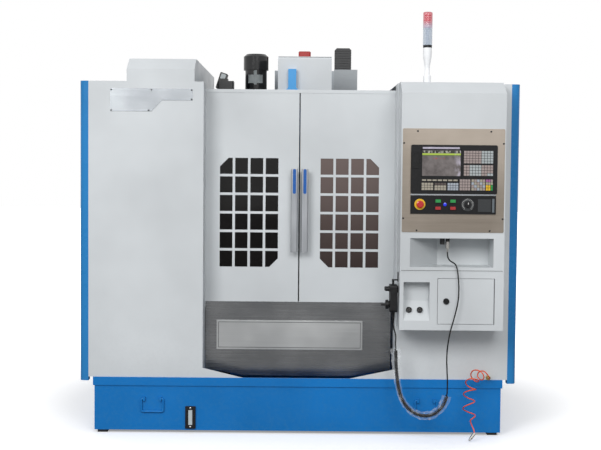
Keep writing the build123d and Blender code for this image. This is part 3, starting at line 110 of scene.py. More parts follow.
hose_tail_route = (
    (876, -918, 92), (882, -924, 76), (889, -931, 62), (893, -938, 50), (892, -944, 40),
)


def metres(*point):
    return Vector(point) / 1000


print("points from the pendant to the plug:", len(lead_route) + len(curl_route) + len(cable_route))


# %% Curve helpers
def cord_curve(name, points, radius, bevel_steps=4):
    """A smooth cord through its control points, in metres; each point carries the cord's radius."""
    curve = bpy.data.curves.new(name, "CURVE")
    curve.dimensions = "3D"
    spline = curve.splines.new("NURBS")
    spline.points.add(len(points) - 1)
    for control, point in zip(spline.points, points):
        control.co = (*point, 1)
        control.radius = radius
    spline.order_u = 3
    spline.use_endpoint_u = True
    spline.resolution_u = 3
    curve.bevel_depth = 1.0 if radius else 0.0
    curve.bevel_resolution = bevel_steps
    curve.use_fill_caps = radius > 0
    cord = bpy.data.objects.new(name, curve)
    scene.collection.objects.link(cord)
    return cord


def middle_line(route, steps=12):
    """Points along the smooth curve of a route, read back from a curve without thickness."""
    guide = cord_curve("guide", [metres(*point) for point in route], 0)
    guide.data.splines[0].resolution_u = steps
    line = bpy.data.meshes.new_from_object(guide)
    points = [vertex.co.copy() for vertex in line.vertices]
    bpy.data.objects.remove(guide)
    bpy.data.meshes.remove(line)
    return points


def length_of(points):
    """The length of a line through its points."""
    return sum((b - a).length for a, b in zip(points, points[1:]))


print("the plain length in metres:", round(length_of(middle_line(cable_route)), 3))

# %% [markdown]
# A coil needs places at even steps along its line. The walk gives each place with its direction, and the
# winding turns a helix round them, whose radius and pitch may change on the way.

# %% Walking and winding
def walk(points, step):
    """Evenly spaced places along a line, each with its direction."""
    places, travelled, target = [], 0.0, 0.0
    for a, b in zip(points, points[1:]):
        run = (b - a).length
        while run and target <= travelled + run:
            places.append((a.lerp(b, (target - travelled) / run), (b - a).normalized()))
            target += step
        travelled += run
    return places


def wind(points, radius_at, pitch_at, start_angle, first_side, per_turn, lean_at=None):
    """Winds a helix round a line; radius, pitch and lean are functions of the share of the way along."""
    total = length_of(points)
    stride = 0.0001
    places = walk(points, stride)
    side = first_side
    angle, since, turns = math.radians(start_angle), 0.0, []
    for index, (place, along) in enumerate(places):
        share = index * stride / total
        side = (side - along * side.dot(along)).normalized()
        step = pitch_at(share) / per_turn
        since += stride
        angle += 2 * math.pi * stride / pitch_at(share)
        if since >= step:
            since -= step
            out = side * math.cos(angle) + along.cross(side) * math.sin(angle)
            if lean_at:
                out += along * math.sin(angle) * lean_at(share)
            turns.append(place + out * radius_at(share))
    return turns


print("places 6 mm apart along the curl:", len(walk(middle_line(curl_route), 0.006)))


# %% [markdown]
# The curl's turns lie close together, so they are drawn a little more than the cord's own thickness
# apart. At both ends the radius eases down and the turns lie further apart, so that the straight parts
# grow out of it. The very first and last points lie next to the middle line, where the straight parts
# take over, and are left out.

# %% The pendant's cord as one curve
cord_thickness, curl_radius, curl_run_in = 0.0068, 0.0066, 0.035
first_pitch, added_pitch, end_stretch = 0.0078, 0.0006, 3
points_per_turn = 12


def eased(share, full, run_in):
    """The full value, except within the run-in at each end, where it goes down to nothing."""
    return full * min(1.0, share / run_in, (1 - share) / run_in)


def curl_pitch(share):
    """The distance from turn to turn, which grows a little along the curl and much more at its ends."""
    near_end = max(0, 1 - min(share, 1 - share) / curl_run_in)
    return (first_pitch + added_pitch * share) * (1 + end_stretch * near_end)


curl_turns = wind(
    middle_line(curl_route),
    radius_at=lambda share: eased(share, curl_radius, curl_run_in),
    pitch_at=curl_pitch,
    start_angle=0,
    first_side=Vector((1, 0, 0)),
    per_turn=points_per_turn,
)
lead_points = [metres(*point) for point in lead_route]
cable_points = [metres(*point) for point in cable_route]
pendant_cord = cord_curve(
    "pendant_cord", [*lead_points[:-1], *curl_turns[2:-2], *cable_points[1:]], cord_thickness / 2, 3
)
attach(pendant_cord, "root")
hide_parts("pendant_lead", "curly_cord", "socket_cable")
print("turns in the curl:", len(curl_turns) // points_per_turn)

# %% [markdown]
# ## The air hose
# A thin orange hose hangs in a few wide, loose turns from its fitting to its coupler. It is wound in the
# same way, with a far larger radius and pitch than the cord's curl, because its own weight has pulled the
# turns apart. The first turns lean over and show as loops, and the lower ones hang almost level.

# %% The air hose as one curve
hose_thickness, coil_radius, coil_run_in = 0.006, 0.030, 0.07
hose_turns = wind(
    middle_line(hose_coil_route),
    radius_at=lambda share: eased(share, coil_radius, coil_run_in),
    pitch_at=lambda share: 0.036 + 0.052 * share,
    start_angle=-90,
    first_side=Vector((0, 0, 1)),
    per_turn=14,
    lean_at=lambda share: 0.95 * (1 - share) ** 2,
)
hose_start = [metres(*point) for point in hose_lead_route]
hose_end = [metres(*point) for point in hose_tail_route]
hose_points = [*hose_start[:-1], *hose_turns[2:-1], *hose_end[1:]]
air_hose = cord_curve("air_hose_coil", hose_points, hose_thickness / 2)
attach(air_hose, "root")
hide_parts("air_hose")
print("control points in the hose:", len(hose_points))

# %% [markdown]
# ## A small language for finishes
# Paint, steel and plastic are all node trees, and long trees are hard to read when every link is a line
# of its own. Here one class wraps a socket, so a sum or a product on it adds the Math node for us, and
# one class holds a material with a single method that adds any other node. Numbers that are the same all
# over a surface are set on the shader itself.


# %% Wires and colours
class Wire:
    """The output of a node, with Python's arithmetic."""

    def __init__(self, finish, socket):
        self.finish = finish
        self.socket = socket

    def maths(self, operation, first, second):
        return self.finish.node("Math", {"operation": operation}, {0: first, 1: second})

    def __add__(self, other):
        return self.maths("ADD", self, other)

    def __radd__(self, other):
        return self.maths("ADD", other, self)

    def __sub__(self, other):
        return self.maths("SUBTRACT", self, other)

    def __rsub__(self, other):
        return self.maths("SUBTRACT", other, self)

    def __mul__(self, other):
        return self.maths("MULTIPLY", self, other)

    def __rmul__(self, other):
        return self.maths("MULTIPLY", other, self)


def paint_colour(code):
    """The renderer's linear colour for a six-digit colour code."""
    parts = [int(code[start : start + 2], 16) / 255 for start in (0, 2, 4)]
    return (*[c / 12.92 if c <= 0.04045 else ((c + 0.055) / 1.055) ** 2.4 for c in parts], 1.0)


print("mid grey in linear light:", round(paint_colour("808080")[0], 3))

# %% [markdown]
# A finish holds one material and starts from the shader that a new material has. Its methods add what the
# trees below need: coordinates, noise, ranges, mixes of colours and bumps.

# %% Finishes
class Finish:
    """A material whose tree is written as expressions."""

    def __init__(self, name, colour, **constants):
        self.material = bpy.data.materials.new(name)
        self.material.use_nodes = True
        self.tree = self.material.node_tree
        self.shader = self.tree.nodes["Principled BSDF"]
        self.set("Base Color", colour)
        for socket, value in constants.items():
            self.set(socket.replace("_", " ").title().replace("Ior", "IOR"), value)

    def put(self, socket, value):
        """Links a wire to a socket, or sets the socket's own value."""
        if isinstance(value, Wire):
            self.tree.links.new(value.socket, socket)
        else:
            socket.default_value = value

    def set(self, name, value):
        self.put(self.shader.inputs[name], value)

    def node(self, kind, settings, values, output=0):
        """Adds a node: first its settings, then the values or wires of its sockets."""
        made = self.tree.nodes.new("ShaderNode" + kind)
        for name, setting in settings.items():
            setattr(made, name, setting)
        for name, value in values.items():
            self.put(made.inputs[name], value)
        return Wire(self, made.outputs[output])

    def place(self, stretch=(1, 1, 1)):
        """Object coordinates, in metres, stretched along each axis."""
        here = self.node("TexCoord", {}, {}, "Object")
        return self.node("VectorMath", {"operation": "MULTIPLY"}, {0: here, 1: stretch})

    def axes(self):
        """The three object coordinates as single numbers."""
        here = self.node("TexCoord", {}, {}, "Object")
        return [self.node("SeparateXYZ", {}, {0: here}, axis) for axis in "XYZ"]

    def noise(self, scale, detail=2.0, roughness=0.5, stretch=(1, 1, 1)):
        here = self.place(stretch)
        values = {"Vector": here, "Scale": scale, "Detail": detail, "Roughness": roughness}
        return self.node("TexNoise", {}, values)

    def between(self, value, low, high, from_value=0.0, to_value=1.0):
        """Runs from one value to another as the input goes from low to high, and stays there outside."""
        values = {0: value, 1: low, 2: high, 3: from_value, 4: to_value}
        return self.node("MapRange", {"clamp": True}, values)

    def blend(self, share, first, second):
        """A mix of two colours."""
        mix = {"data_type": "RGBA", "clamp_factor": True}
        return self.node("Mix", mix, {0: share, 6: first, 7: second}, 2)

    def tint(self, share, code):
        """Lays one more colour over the base colour that the finish has so far."""
        so_far = self.shader.inputs["Base Color"].links[0].from_socket
        self.set("Base Color", self.blend(share, Wire(self, so_far), paint_colour(code)))

    def bump(self, height, strength, distance):
        values = {"Height": height, "Strength": strength, "Distance": distance}
        self.set("Normal", self.node("Bump", {}, values))
        return self


print("materials before the first finish:", len(bpy.data.materials))


# %% [markdown]
# ## Paint
# The sheets are sprayed with a satin enamel. It has a fine orange-peel texture that only shows where
# light glances off it, slow changes of tone across a large panel, and a little dust towards the floor. A
# flat colour with a texture image could do it too, but noise in the object's own coordinates needs no
# unwrapping and has the same scale on a large door and on a small flap.


# %% Enamel
def enamel(name, code, dusty="B9BDC0", peel=0.06, gloss=0.34, dust=0.35, tone=0.05, shine=0.45):
    """A sprayed coat with a little dust near the floor."""
    colour = paint_colour(code)
    finish = Finish(name, colour, specular_ior_level=shine)
    cloud = finish.noise(1.7, detail=3)
    darker = tuple(c * (1 - 3 * tone) for c in colour[:3]) + (1,)
    lighter = tuple(min(1, c * (1 + tone)) for c in colour[:3]) + (1,)
    toned = finish.blend(finish.between(cloud, 0.3, 0.7), darker, lighter)
    height = finish.axes()[2]
    speckle = finish.noise(60, detail=4, roughness=0.7)
    low_down = finish.between(height, 0.75, 0.0) * finish.between(speckle, 0.45, 0.75) * dust
    finish.set("Base Color", finish.blend(low_down, toned, paint_colour(dusty)))
    smudge = finish.noise(5.5, detail=5, roughness=0.65)
    finish.set("Roughness", gloss + 0.14 * finish.between(smudge, 0.42, 0.7) + 0.2 * low_down)
    return finish.bump(finish.noise(420, detail=1), peel, 0.0004)


white_paint = enamel("white_enamel", "CDD1D3")
blue_paint = enamel(
    "blue_enamel", "0F75C0", dusty="3E7CA8", peel=0.08, gloss=0.30, dust=0.3, tone=0.06, shine=0.25
)
column_paint = enamel(
    "corner_column_enamel", "2B7FBE", dusty="5A8FB8", peel=0.05, gloss=0.24, dust=0.2, tone=0.05, shine=0.2
)
casting_blue = enamel("casting_blue_enamel", "1E70B4", dusty="4F6E86", peel=0.35, gloss=0.38)
casting_grey = enamel("casting_grey_enamel", "A9AFB3", dusty="84898C", peel=0.35, gloss=0.42)
black_gloss = enamel("black_gloss_enamel", "101113", dusty="3A3B3C", peel=0.05, gloss=0.18, tone=0.2)
print("materials so far:", len(bpy.data.materials))

# %% [markdown]
# ## Bare metal
# Brushed sheet shows long fine scratches, all one way, which spread its reflections into streaks.
# Stretching a noise very far along one axis gives scratches of any length. Ground and machined steel has
# the same scratches, only shorter and closer. Metal takes its colour from the base colour, so a dark
# sheet is a dark metal, not a rough one.


# %% Brushed and ground metal
def brushed(name, code, along="X", gloss=0.28, streak=0.16, depth=0.10, light="E6E3DE"):
    """A brushed or ground surface with its scratches along one axis."""
    colour = paint_colour(code)
    finish = Finish(name, colour, metallic=1.0)
    long, fine = 3.0, 900.0
    stretch = {"X": (long, fine, fine), "Y": (fine, long, fine), "Z": (fine, fine, long)}[along]
    grain = finish.noise(1.0, detail=3, roughness=0.6, stretch=stretch)
    cloud = finish.noise(3.0, detail=3)
    shade = finish.between(grain, 0.3, 0.7) * streak + 0.35 * finish.between(cloud, 0.35, 0.7)
    finish.set("Base Color", finish.blend(shade, colour, paint_colour(light)))
    scratched = 0.12 * finish.between(grain, 0.35, 0.65)
    finish.set("Roughness", gloss + scratched + 0.08 * finish.between(cloud, 0.4, 0.8))
    return finish.bump(grain, depth, 0.0002)


panel_steel = brushed("brushed_panel_steel", "8C8378", gloss=0.30, light="B4AAA0")
apron_steel = brushed("apron_steel", "7F8183", gloss=0.16, streak=0.10, depth=0.05, light="A6A6A6")
plate_steel = brushed("apron_plate_steel", "A9ABAC", gloss=0.30, light="DCDDDC")
mirror_steel = brushed("mirror_steel", "A4A9AE", gloss=0.12, streak=0.08, depth=0.04, light="ECF1F5")
handle_alloy = brushed("handle_alloy", "989BA0", along="Z", gloss=0.26, light="D0D3D6")
machined_alloy = brushed("machined_alloy", "A9ACAF", gloss=0.34)
ground_steel = brushed("ground_steel", "B4B5B6", gloss=0.22)
screw_steel = brushed("bright_screw_steel", "BDBDBC", along="Y", gloss=0.2)
nickel = brushed("nickel_plate", "C6C4BF", along="Z", gloss=0.12, streak=0.05, depth=0.02)
print("materials so far:", len(bpy.data.materials))

# %% [markdown]
# ## Plastic, rubber and cords
# Moulded plastic and rubber have a fine leather-like grain and go a little paler where hands rub them.
# The hose and the cord are smooth and shiny, so a long highlight runs along every turn.


# %% Moulded finishes
def moulded(name, code, gloss=0.42, grain=900, depth=0.12, worn="5A5A5A", wear=0.15, **constants):
    """Plastic or rubber with a fine grain, paler where it is rubbed."""
    colour = paint_colour(code)
    finish = Finish(name, colour, **constants)
    rubbed = finish.between(finish.noise(45, detail=4, roughness=0.7), 0.52, 0.85) * wear
    finish.set("Base Color", finish.blend(rubbed, colour, paint_colour(worn)))
    texture = finish.noise(grain, detail=2)
    finish.set("Roughness", gloss + 0.12 * finish.between(texture, 0.35, 0.7) - 0.1 * rubbed)
    return finish.bump(texture, depth, 0.0003)


black_plastic = moulded("black_plastic", "0F0F11", specular_ior_level=0.3)
unit_plastic = moulded("unit_black_plastic", "0F0F11", gloss=0.36, wear=0.08, specular_ior_level=0.25)
rubber = moulded("black_rubber", "101011", gloss=0.62, grain=500, depth=0.25, specular_ior_level=0.3)
cord_rubber = moulded("cord_rubber", "0A0A0B", gloss=0.34, depth=0.05, wear=0.08, specular_ior_level=0.3)
hose_plastic = moulded(
    "hose_orange", "E2521A", gloss=0.26, depth=0.03, worn="F2783C", wear=0.3, coat_weight=0.1,
    coat_roughness=0.1,
)
mushroom_red = moulded("stop_red", "B51218", gloss=0.22, depth=0.03, worn="D84A44", coat_weight=0.4)
stop_red = moulded("button_red", "A3141A", gloss=0.25, depth=0.03, worn="D0403C", coat_weight=0.4)
start_green = moulded("button_green", "0C8A3C", gloss=0.25, depth=0.03, worn="3FB268", coat_weight=0.4)
ring_yellow = moulded("ring_yellow", "E0B21C", gloss=0.35, depth=0.04, worn="F2D465")
insert_blue = moulded("handle_insert_blue", "1658A4", gloss=0.20, depth=0.02, worn="3F7CC0", coat_weight=0.1)
pointer_white = moulded("pointer_white", "E4E4E0", gloss=0.4, depth=0.02, worn="B9B9B4")
cast_black = moulded("blackened_iron", "17181A", gloss=0.55, grain=250, depth=0.5, worn="4A4A4A")
print("materials so far:", len(bpy.data.materials))

# %% [markdown]
# ## Dark panes
# The panes are tinted sheet, dark but not quite opaque: they mirror the room in front of them and let a
# little of the machine's inside through. Real glass would need refraction. A smooth dark surface with
# partial opacity needs none, which renders fast and survives an export. Each pane's colour is paler
# towards the top, the right one more so, and the right one is paler and warmer overall: painted light,
# which stands for the lit inside seen through the sheet.


# %% Panes
pane_low, pane_high = 0.85, 1.42


def tinted_pane_with_painted_light(name, lit_top_code, shaded_low_code, alpha):
    """A dark tinted sheet, paler towards the top, which is painted light."""
    finish = Finish(name, paint_colour(lit_top_code), specular_ior_level=0.25, alpha=alpha)
    # Painted light and shade: the colour runs from the shaded foot up to the lit top.
    height = finish.between(finish.axes()[2], pane_low, pane_high)
    finish.set("Base Color", finish.blend(height, paint_colour(shaded_low_code), paint_colour(lit_top_code)))
    haze = finish.noise(7, detail=4, roughness=0.6)
    smear = finish.between(haze, 0.45, 0.75)
    finish.set("Roughness", 0.05 + 0.10 * smear)
    return finish


left_pane = tinted_pane_with_painted_light("left_pane_tint", "141312", "110F0E", 0.95)
# The right pane's paler, warmer colour is painted light: the lit inside seen through the sheet.
right_pane = tinted_pane_with_painted_light("right_pane_glass_and_painted_light", "6E605C", "3C3230", 0.93)
print("materials so far:", len(bpy.data.materials))

# %% [markdown]
# The key caps, the dial and the other small parts are moulded too. Several greys are needed, because the
# caps in one field are not all of one colour, and the blue indicator glows a little by itself.

# %% Keys and small plastics
key_warm = moulded("key_warm_grey", "9A8C88", worn="C9BCB8", gloss=0.38)
key_cool = moulded("key_cool_grey", "A4ABAC", worn="CDD3D4", gloss=0.38)
key_beige = moulded("key_beige", "9E9788", worn="D2CCBE", gloss=0.38)
key_dark = moulded("key_dark", "4A403C", worn="7C706A", gloss=0.38)
key_sky = moulded("key_sky_grey", "A0A7B0", worn="C8CDD4", gloss=0.38)
key_magenta = moulded("key_magenta", "9A5C8E", worn="C090B4", gloss=0.38)
dial_grey = moulded("dial_grey", "26292B", worn="45494B", gloss=0.32)
strip_grey = moulded("strip_grey", "5E666B", worn="868E92", gloss=0.30)
border_ink = moulded("border_ink", "4A4C4C", worn="6B6D6D", gloss=0.5)
gauge_pale = moulded("gauge_pale", "B9C2C4", worn="E2E8E8", gloss=0.15, coat_weight=0.5)
# The visor's pale colour and its large pale patches are a painted reflection on the strip above the screen.
visor_painted_reflection = moulded("visor_painted_reflection", "A9A3B4", worn="E6E2EE", gloss=0.12, wear=0.6, coat_weight=0.6)
indicator_blue = moulded(
    "indicator_blue", "1B2FC4", worn="4A66F0", gloss=0.15, coat_weight=0.6, emission_strength=0.35,
    emission_color=paint_colour("1420C8"),
)
print("materials so far:", len(bpy.data.materials))

# %% [markdown]
# The screen is one more finish, which glows. Bands along its height and width stand for a title line, a
# ruled line and a faint red line, with no writing in them. The pale cloudy patch down its right side is
# painted, and stands for light that the glass throws back there.


# %% Screen image
def band(finish, value, low, high, edge=0.0006):
    """One inside the band and zero outside it."""
    rise = finish.between(value, low - edge, low + edge)
    return rise * finish.between(value, high - edge, high + edge, 1.0, 0.0)


def lit_screen():
    """The glowing picture: a cloudy ground, then each band laid over it."""
    finish = Finish("screen_glow", paint_colour("0B0B0C"), emission_strength=1.0)
    across, _, up = finish.axes()
    cloud = finish.noise(26, detail=4, roughness=0.6)
    ground = finish.blend(finish.between(cloud, 0.3, 0.7), paint_colour("4E4746"), paint_colour("77706F"))
    title = band(finish, up, 1.4485, 1.4600)
    flecks = finish.between(finish.noise(120, detail=1, stretch=(1, 1, 0.2)), 0.54, 0.56)
    line = band(finish, up, 1.4395, 1.4470)
    fade = band(finish, up, 1.4345, 1.4395)
    red = band(finish, up, 1.4195, 1.4250) * band(finish, across, 0.649, 0.725)
    streak = finish.noise(40, detail=3, stretch=(1.4, 1, 0.7))
    patch = finish.between(across, 0.758, 0.786) * finish.between(streak, 0.42, 0.62)
    flecked = finish.blend(flecks * 0.6, paint_colour("2A2A20"), paint_colour("C8C8B8"))
    picture = finish.blend(title, ground, flecked)
    picture = finish.blend(line, picture, paint_colour("A9C23C"))
    picture = finish.blend(fade * 0.8, picture, paint_colour("5C6B34"))
    picture = finish.blend(red * flecks, picture, paint_colour("9C4A44"))
    picture = finish.blend(patch * 0.85, picture, paint_colour("B4AEBC"))
    finish.set("Emission Color", picture)
    finish.set("Roughness", 0.10 + 0.08 * finish.between(cloud, 0.4, 0.7))
    return finish


screen_glow = lit_screen()
print("nodes in the screen's picture:", len(screen_glow.tree.nodes))

# %% [markdown]
# The lamp's lenses and the film are thin clear shells. Their opacity is low and rises where the shell
# turns away from the eye, as it does on a thin sheet, and creases are less clear than the rest. On the film
# the creases are pale streaks, partly its crinkles and partly painted highlights. The red lens and the
# board inside it go pale towards their foot.


# %% Clear shells
def clear_shell(name, code, thin, edge, gloss=0.08, crease_and_highlight=0.08):
    """A thin clear sheet, from its opacity seen face on to its opacity seen edge on."""
    finish = Finish(name, paint_colour(code), specular_ior_level=0.6)
    facing = finish.node("LayerWeight", {}, {"Blend": 0.35}, "Facing")
    # Creases are less clear, and on the film their pale streaks are also painted highlights.
    creases_and_highlights = finish.between(finish.noise(60, detail=3, roughness=0.6, stretch=(1, 1, 0.5)), 0.50, 0.66)
    finish.set("Alpha", thin + (edge - thin) * facing + crease_and_highlight * creases_and_highlights * (0.3 + 0.7 * facing))
    finish.set("Roughness", gloss + 0.06 * creases_and_highlights)
    return finish


lens_pale = clear_shell("lens_pale", "C9D6E6", 0.35, 0.85)
lens_red = clear_shell("lens_red", "DC3A54", 0.42, 0.85)
foot_low, foot_high = 2.085, 2.112
lens_foot = lens_red.between(lens_red.axes()[2], foot_low, foot_high, 1, 0)
lens_red.set("Base Color", lens_red.blend(lens_foot, paint_colour("DC3A54"), paint_colour("CDB6CC")))
clear_film = clear_shell("clear_film", "F6F8FA", 0.04, 0.34, 0.12, crease_and_highlight=0.55)
core_white = moulded("lens_core", "D5DBE4", worn="F2F6FA", gloss=0.2)
lamp_board_red = moulded("lamp_board", "C8606E", worn="E0909A", gloss=0.4)
board_foot = lamp_board_red.between(lamp_board_red.axes()[2], foot_low, foot_high, 1, 0)
lamp_board_red.tint(board_foot, "B9BED0")
diode_white = moulded("lamp_diode", "FFF2EE", worn="FFFFFF", gloss=0.15)
pole_chrome = moulded("pole_chrome", "F2F3F4", worn="FFFFFF", gloss=0.12, depth=0.02)
print("materials so far:", len(bpy.data.materials))

# %% [markdown]
# ## One part, several finishes
# Some parts of the model are one node but leave the paint shop in several colours: a motor with a red
# cap, a saddle with ground rails, a gearbox with a black motor. The places of those colours are known, so
# a mask on the object's own coordinates picks between two finishes. It mixes only colour, roughness and
# metal, so it stays one shader. On the spindle head the mask paints light instead: the head is one blue,
# and its paler top is painted light.


# %% Two finishes on one part
def two_tone(name, first_code, second_code, axis, edge, softness=0.0005, **looks):
    """The first finish below the edge on an axis, the second above it."""
    first, other = paint_colour(first_code), paint_colour(second_code)
    finish = Finish(name, first)
    place = finish.axes()["XYZ".index(axis)]
    above = finish.between(place, edge - softness, edge + softness)
    cloud = finish.noise(9, detail=4, roughness=0.6)
    worn = finish.between(cloud, 0.4, 0.8)
    lower = finish.blend(worn * 0.25, first, paint_colour(looks.get("first_worn", "8C8E90")))
    upper = finish.blend(worn * 0.25, other, paint_colour(looks.get("second_worn", "8C8E90")))
    finish.set("Base Color", finish.blend(above, lower, upper))
    rough = finish.between(above, 0, 1, looks.get("first_gloss", 0.4), looks.get("second_gloss", 0.3))
    finish.set("Roughness", rough + 0.12 * worn)
    finish.set("Metallic", finish.between(above, 0, 1, 0, looks.get("second_metal", 0)))
    return finish.bump(finish.noise(300, detail=2), 0.2, 0.0004)


motor_finish = two_tone(
    "feed_motor_finish", "15171A", "A82420", "Z", 2.0331, first_gloss=0.35, second_gloss=0.45,
    second_worn="7A1512",
)
changer_finish = two_tone(
    "changer_finish", "A9AFB3", "0B0C0E", "Z", 1.7201, first_worn="8A8F92", second_gloss=0.10,
    second_worn="2C2E33",
)
magazine_finish = two_tone(
    "magazine_frame_finish", "A9AFB3", "141517", "Z", 1.7201, first_worn="8A8F92", second_gloss=0.4,
    second_worn="2E3033",
)
# The spindle head is one blue casting; the paler blue on its top, above 1.70 m, is painted light.
head_finish_with_painted_light = two_tone(
    "head_finish_with_painted_light", "1E70B4", "3C9ADB", "Z", 1.7001, first_worn="5F7F99", second_worn="55A8E0"
)
chain_finish = two_tone(
    "duct_and_chain_finish", "9DA2A5", "121315", "Z", 1.9641, second_gloss=0.38, second_worn="3A3B3E"
)
fitting_finish = two_tone(
    "fitting_finish", "121214", "B9A46A", "X", 0.940, second_gloss=0.25, second_metal=1.0,
    second_worn="D8CB9A",
)
saddle_finish = two_tone(
    "saddle_finish", "A9AFB3", "B9BBBD", "Z", 0.6405, second_gloss=0.3, second_metal=0.6
)
print("materials so far:", len(bpy.data.materials))

# %% [markdown]
# Every node that keeps its own shape now gets its finish. The mesh stays as it is, only the slot changes.

# %% Finishes on the nodes
node_finishes = {
    white_paint: (
        "front_panels", "outer_panels", "roof_covers", "inner_guards", "door_track", "control_box",
        "left_door", "right_door", "head_cover", "storage_door", "cabinet_door", "electrical_cabinet",
    ),
    column_paint: ("corner_columns",),
    blue_paint: ("coolant_tank", "left_tank_handle", "right_tank_handle"),
    casting_blue: ("machine_bed",),
    casting_grey: ("machine_column",),
    head_finish_with_painted_light: ("spindle_head",),
    saddle_finish: ("saddle",),
    motor_finish: ("feed_motors",),
    changer_finish: ("changer_drive",),
    magazine_finish: ("magazine_frame",),
    chain_finish: ("cable_duct",),
    fitting_finish: ("panel_fittings",),
    ground_steel: (
        "guide_rails", "work_table", "spindle", "x_screw", "y_screw", "z_screw", "changer_arm",
    ),
    machined_alloy: ("magazine_disc",),
    handle_alloy: ("left_handle", "right_handle"),
    apron_steel: ("front_apron",),
    panel_steel: ("control_plate",),
    unit_plastic: ("cnc_unit",),
    black_plastic: ("storage_latch", "override_knob", "axis_knob", "step_knob", "handwheel", "pendant_body"),
    rubber: ("card_flap",),
    mushroom_red: ("emergency_stop",),
    start_green: ("start_button", "resume_button"),
    stop_red: ("stop_button", "hold_button"),
    left_pane: ("left_window",),
    right_pane: ("right_window",),
    nickel: ("hose_coupler", "cable_plug"),
    cast_black: ("support_feet",),
}
for finish, names in node_finishes.items():
    for name in names:
        materials = nodes[name].data.materials
        materials.clear()
        materials.append(finish.material)
pendant_cord.data.materials.append(cord_rubber.material)
air_hose.data.materials.append(hose_plastic.material)
print("nodes with a finish:", sum(len(names) for names in node_finishes.values()))

# %% [markdown]
# ## Making pieces
# The small parts are modelled in millimetres, as a drawing gives them, and brought to metres when they
# become an object. Each starts from a primitive or an outline, is bevelled or spun, and keeps its place
# in its mesh, so that its object sits at the origin. A turned part stays open where its profile ends away
# from its axis: a screw at its back, a ring round its hole, the pale lens at both ends.


# %% Shapes in millimetres
def slab(x_low, x_high, y_low, y_high, z_low, z_high, bevel=0.0, segments=2):
    """A block with all its edges softened."""
    shape = bmesh.new()
    bmesh.ops.create_cube(shape, size=1)
    bmesh.ops.scale(shape, vec=(x_high - x_low, y_high - y_low, z_high - z_low), verts=shape.verts)
    middle = ((x_low + x_high) / 2, (y_low + y_high) / 2, (z_low + z_high) / 2)
    bmesh.ops.translate(shape, vec=middle, verts=shape.verts)
    if bevel:
        soften(shape, shape.edges[:], bevel, segments)
    return shape


def soften(shape, edges, width, segments=2):
    """Bevels some edges of a shape."""
    bmesh.ops.bevel(
        shape, geom=edges, offset=width, offset_type="OFFSET", segments=segments, profile=0.5,
        affect="EDGES", clamp_overlap=True, material=-1,
    )


def turned(profile, centre, axis="Y", steps=32):
    """A turned part: its profile is (radius, height along the axis), from one end to the other."""
    shape = bmesh.new()
    corners = [shape.verts.new((radius, 0, height)) for radius, height in profile]
    edges = [shape.edges.new(pair) for pair in zip(corners, corners[1:])]
    bmesh.ops.spin(
        shape, geom=corners + edges, cent=(0, 0, 0), axis=(0, 0, 1), angle=2 * math.pi, steps=steps,
        use_merge=True,
    )
    bmesh.ops.remove_doubles(shape, verts=shape.verts, dist=0.001)
    if axis == "Y":
        lay_down = Matrix.Rotation(math.pi / 2, 3, "X")
        bmesh.ops.rotate(shape, cent=(0, 0, 0), matrix=lay_down, verts=shape.verts)
    bmesh.ops.translate(shape, vec=centre, verts=shape.verts)
    bmesh.ops.recalc_face_normals(shape, faces=shape.faces)
    return shape


def cut_sheet(outline, y_front, thickness, bevel=0.0):
    """A flat plate seen from the front, from its outline in X and Z."""
    shape = bmesh.new()
    corners = [shape.verts.new((x, y_front, z)) for x, z in outline]
    face = shape.faces.new(corners)
    grown = bmesh.ops.extrude_face_region(shape, geom=[face])
    moved = [part for part in grown["geom"] if isinstance(part, bmesh.types.BMVert)]
    bmesh.ops.translate(shape, vec=(0, thickness, 0), verts=moved)
    bmesh.ops.recalc_face_normals(shape, faces=shape.faces)
    if bevel:
        front = [edge for edge in shape.edges if all(vert.co.y < y_front + 0.01 for vert in edge.verts)]
        soften(shape, front, bevel)
    return shape


print("faces of a bevelled block:", len(slab(0, 10, 0, 10, 0, 10, 1).faces))

# %% [markdown]
# Shapes with one finish are put together, which keeps the number of objects small. The whole is brought to
# metres, becomes an object, and rides on one of the machine's bodies.

# %% From shapes to pieces
def together(*shapes):
    """One shape from several."""
    whole = shapes[0]
    for shape in shapes[1:]:
        lump = bpy.data.meshes.new("lump")
        shape.to_mesh(lump)
        shape.free()
        whole.from_mesh(lump)
        bpy.data.meshes.remove(lump)
    return whole


sharp_angle = math.radians(35)


def make_piece(name, shape, finish, body="root", smooth=False):
    """Turns a finished shape into an object on one of the machine's bodies."""
    bmesh.ops.scale(shape, vec=(0.001, 0.001, 0.001), verts=shape.verts)
    mesh = bpy.data.meshes.new(name)
    shape.to_mesh(mesh)
    shape.free()
    piece = bpy.data.objects.new(name, mesh)
    scene.collection.objects.link(piece)
    mesh.materials.append(finish.material)
    if smooth:
        mesh.shade_smooth()
        mesh.set_sharp_from_angle(angle=sharp_angle)
    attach(piece, body)
    return piece


print("smooth up to an angle of", round(math.degrees(sharp_angle)), "degrees")


# %% [markdown]
# ## Plates and screws
# Two bare plates sit on the machine: a polished one with a cropped corner on the left front panel, and a
# satin one with a dark border line on the apron. The polished one and the control plate are held by
# turned pan heads. Two small dark slabs make the cross on each, which is quicker than a cut and enough at
# this size. The polished plate's screws are listed one by one, because their spacing isn't even.

# %% Plates on the front
panel_face = 1000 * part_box("front_panels")[0][1]
apron_face = 1000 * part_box("front_apron")[0][1]
plate_face = 1000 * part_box("control_plate")[0][1]
seat, plate_thickness, plate_bevel = 0.3, 1.2, 0.5

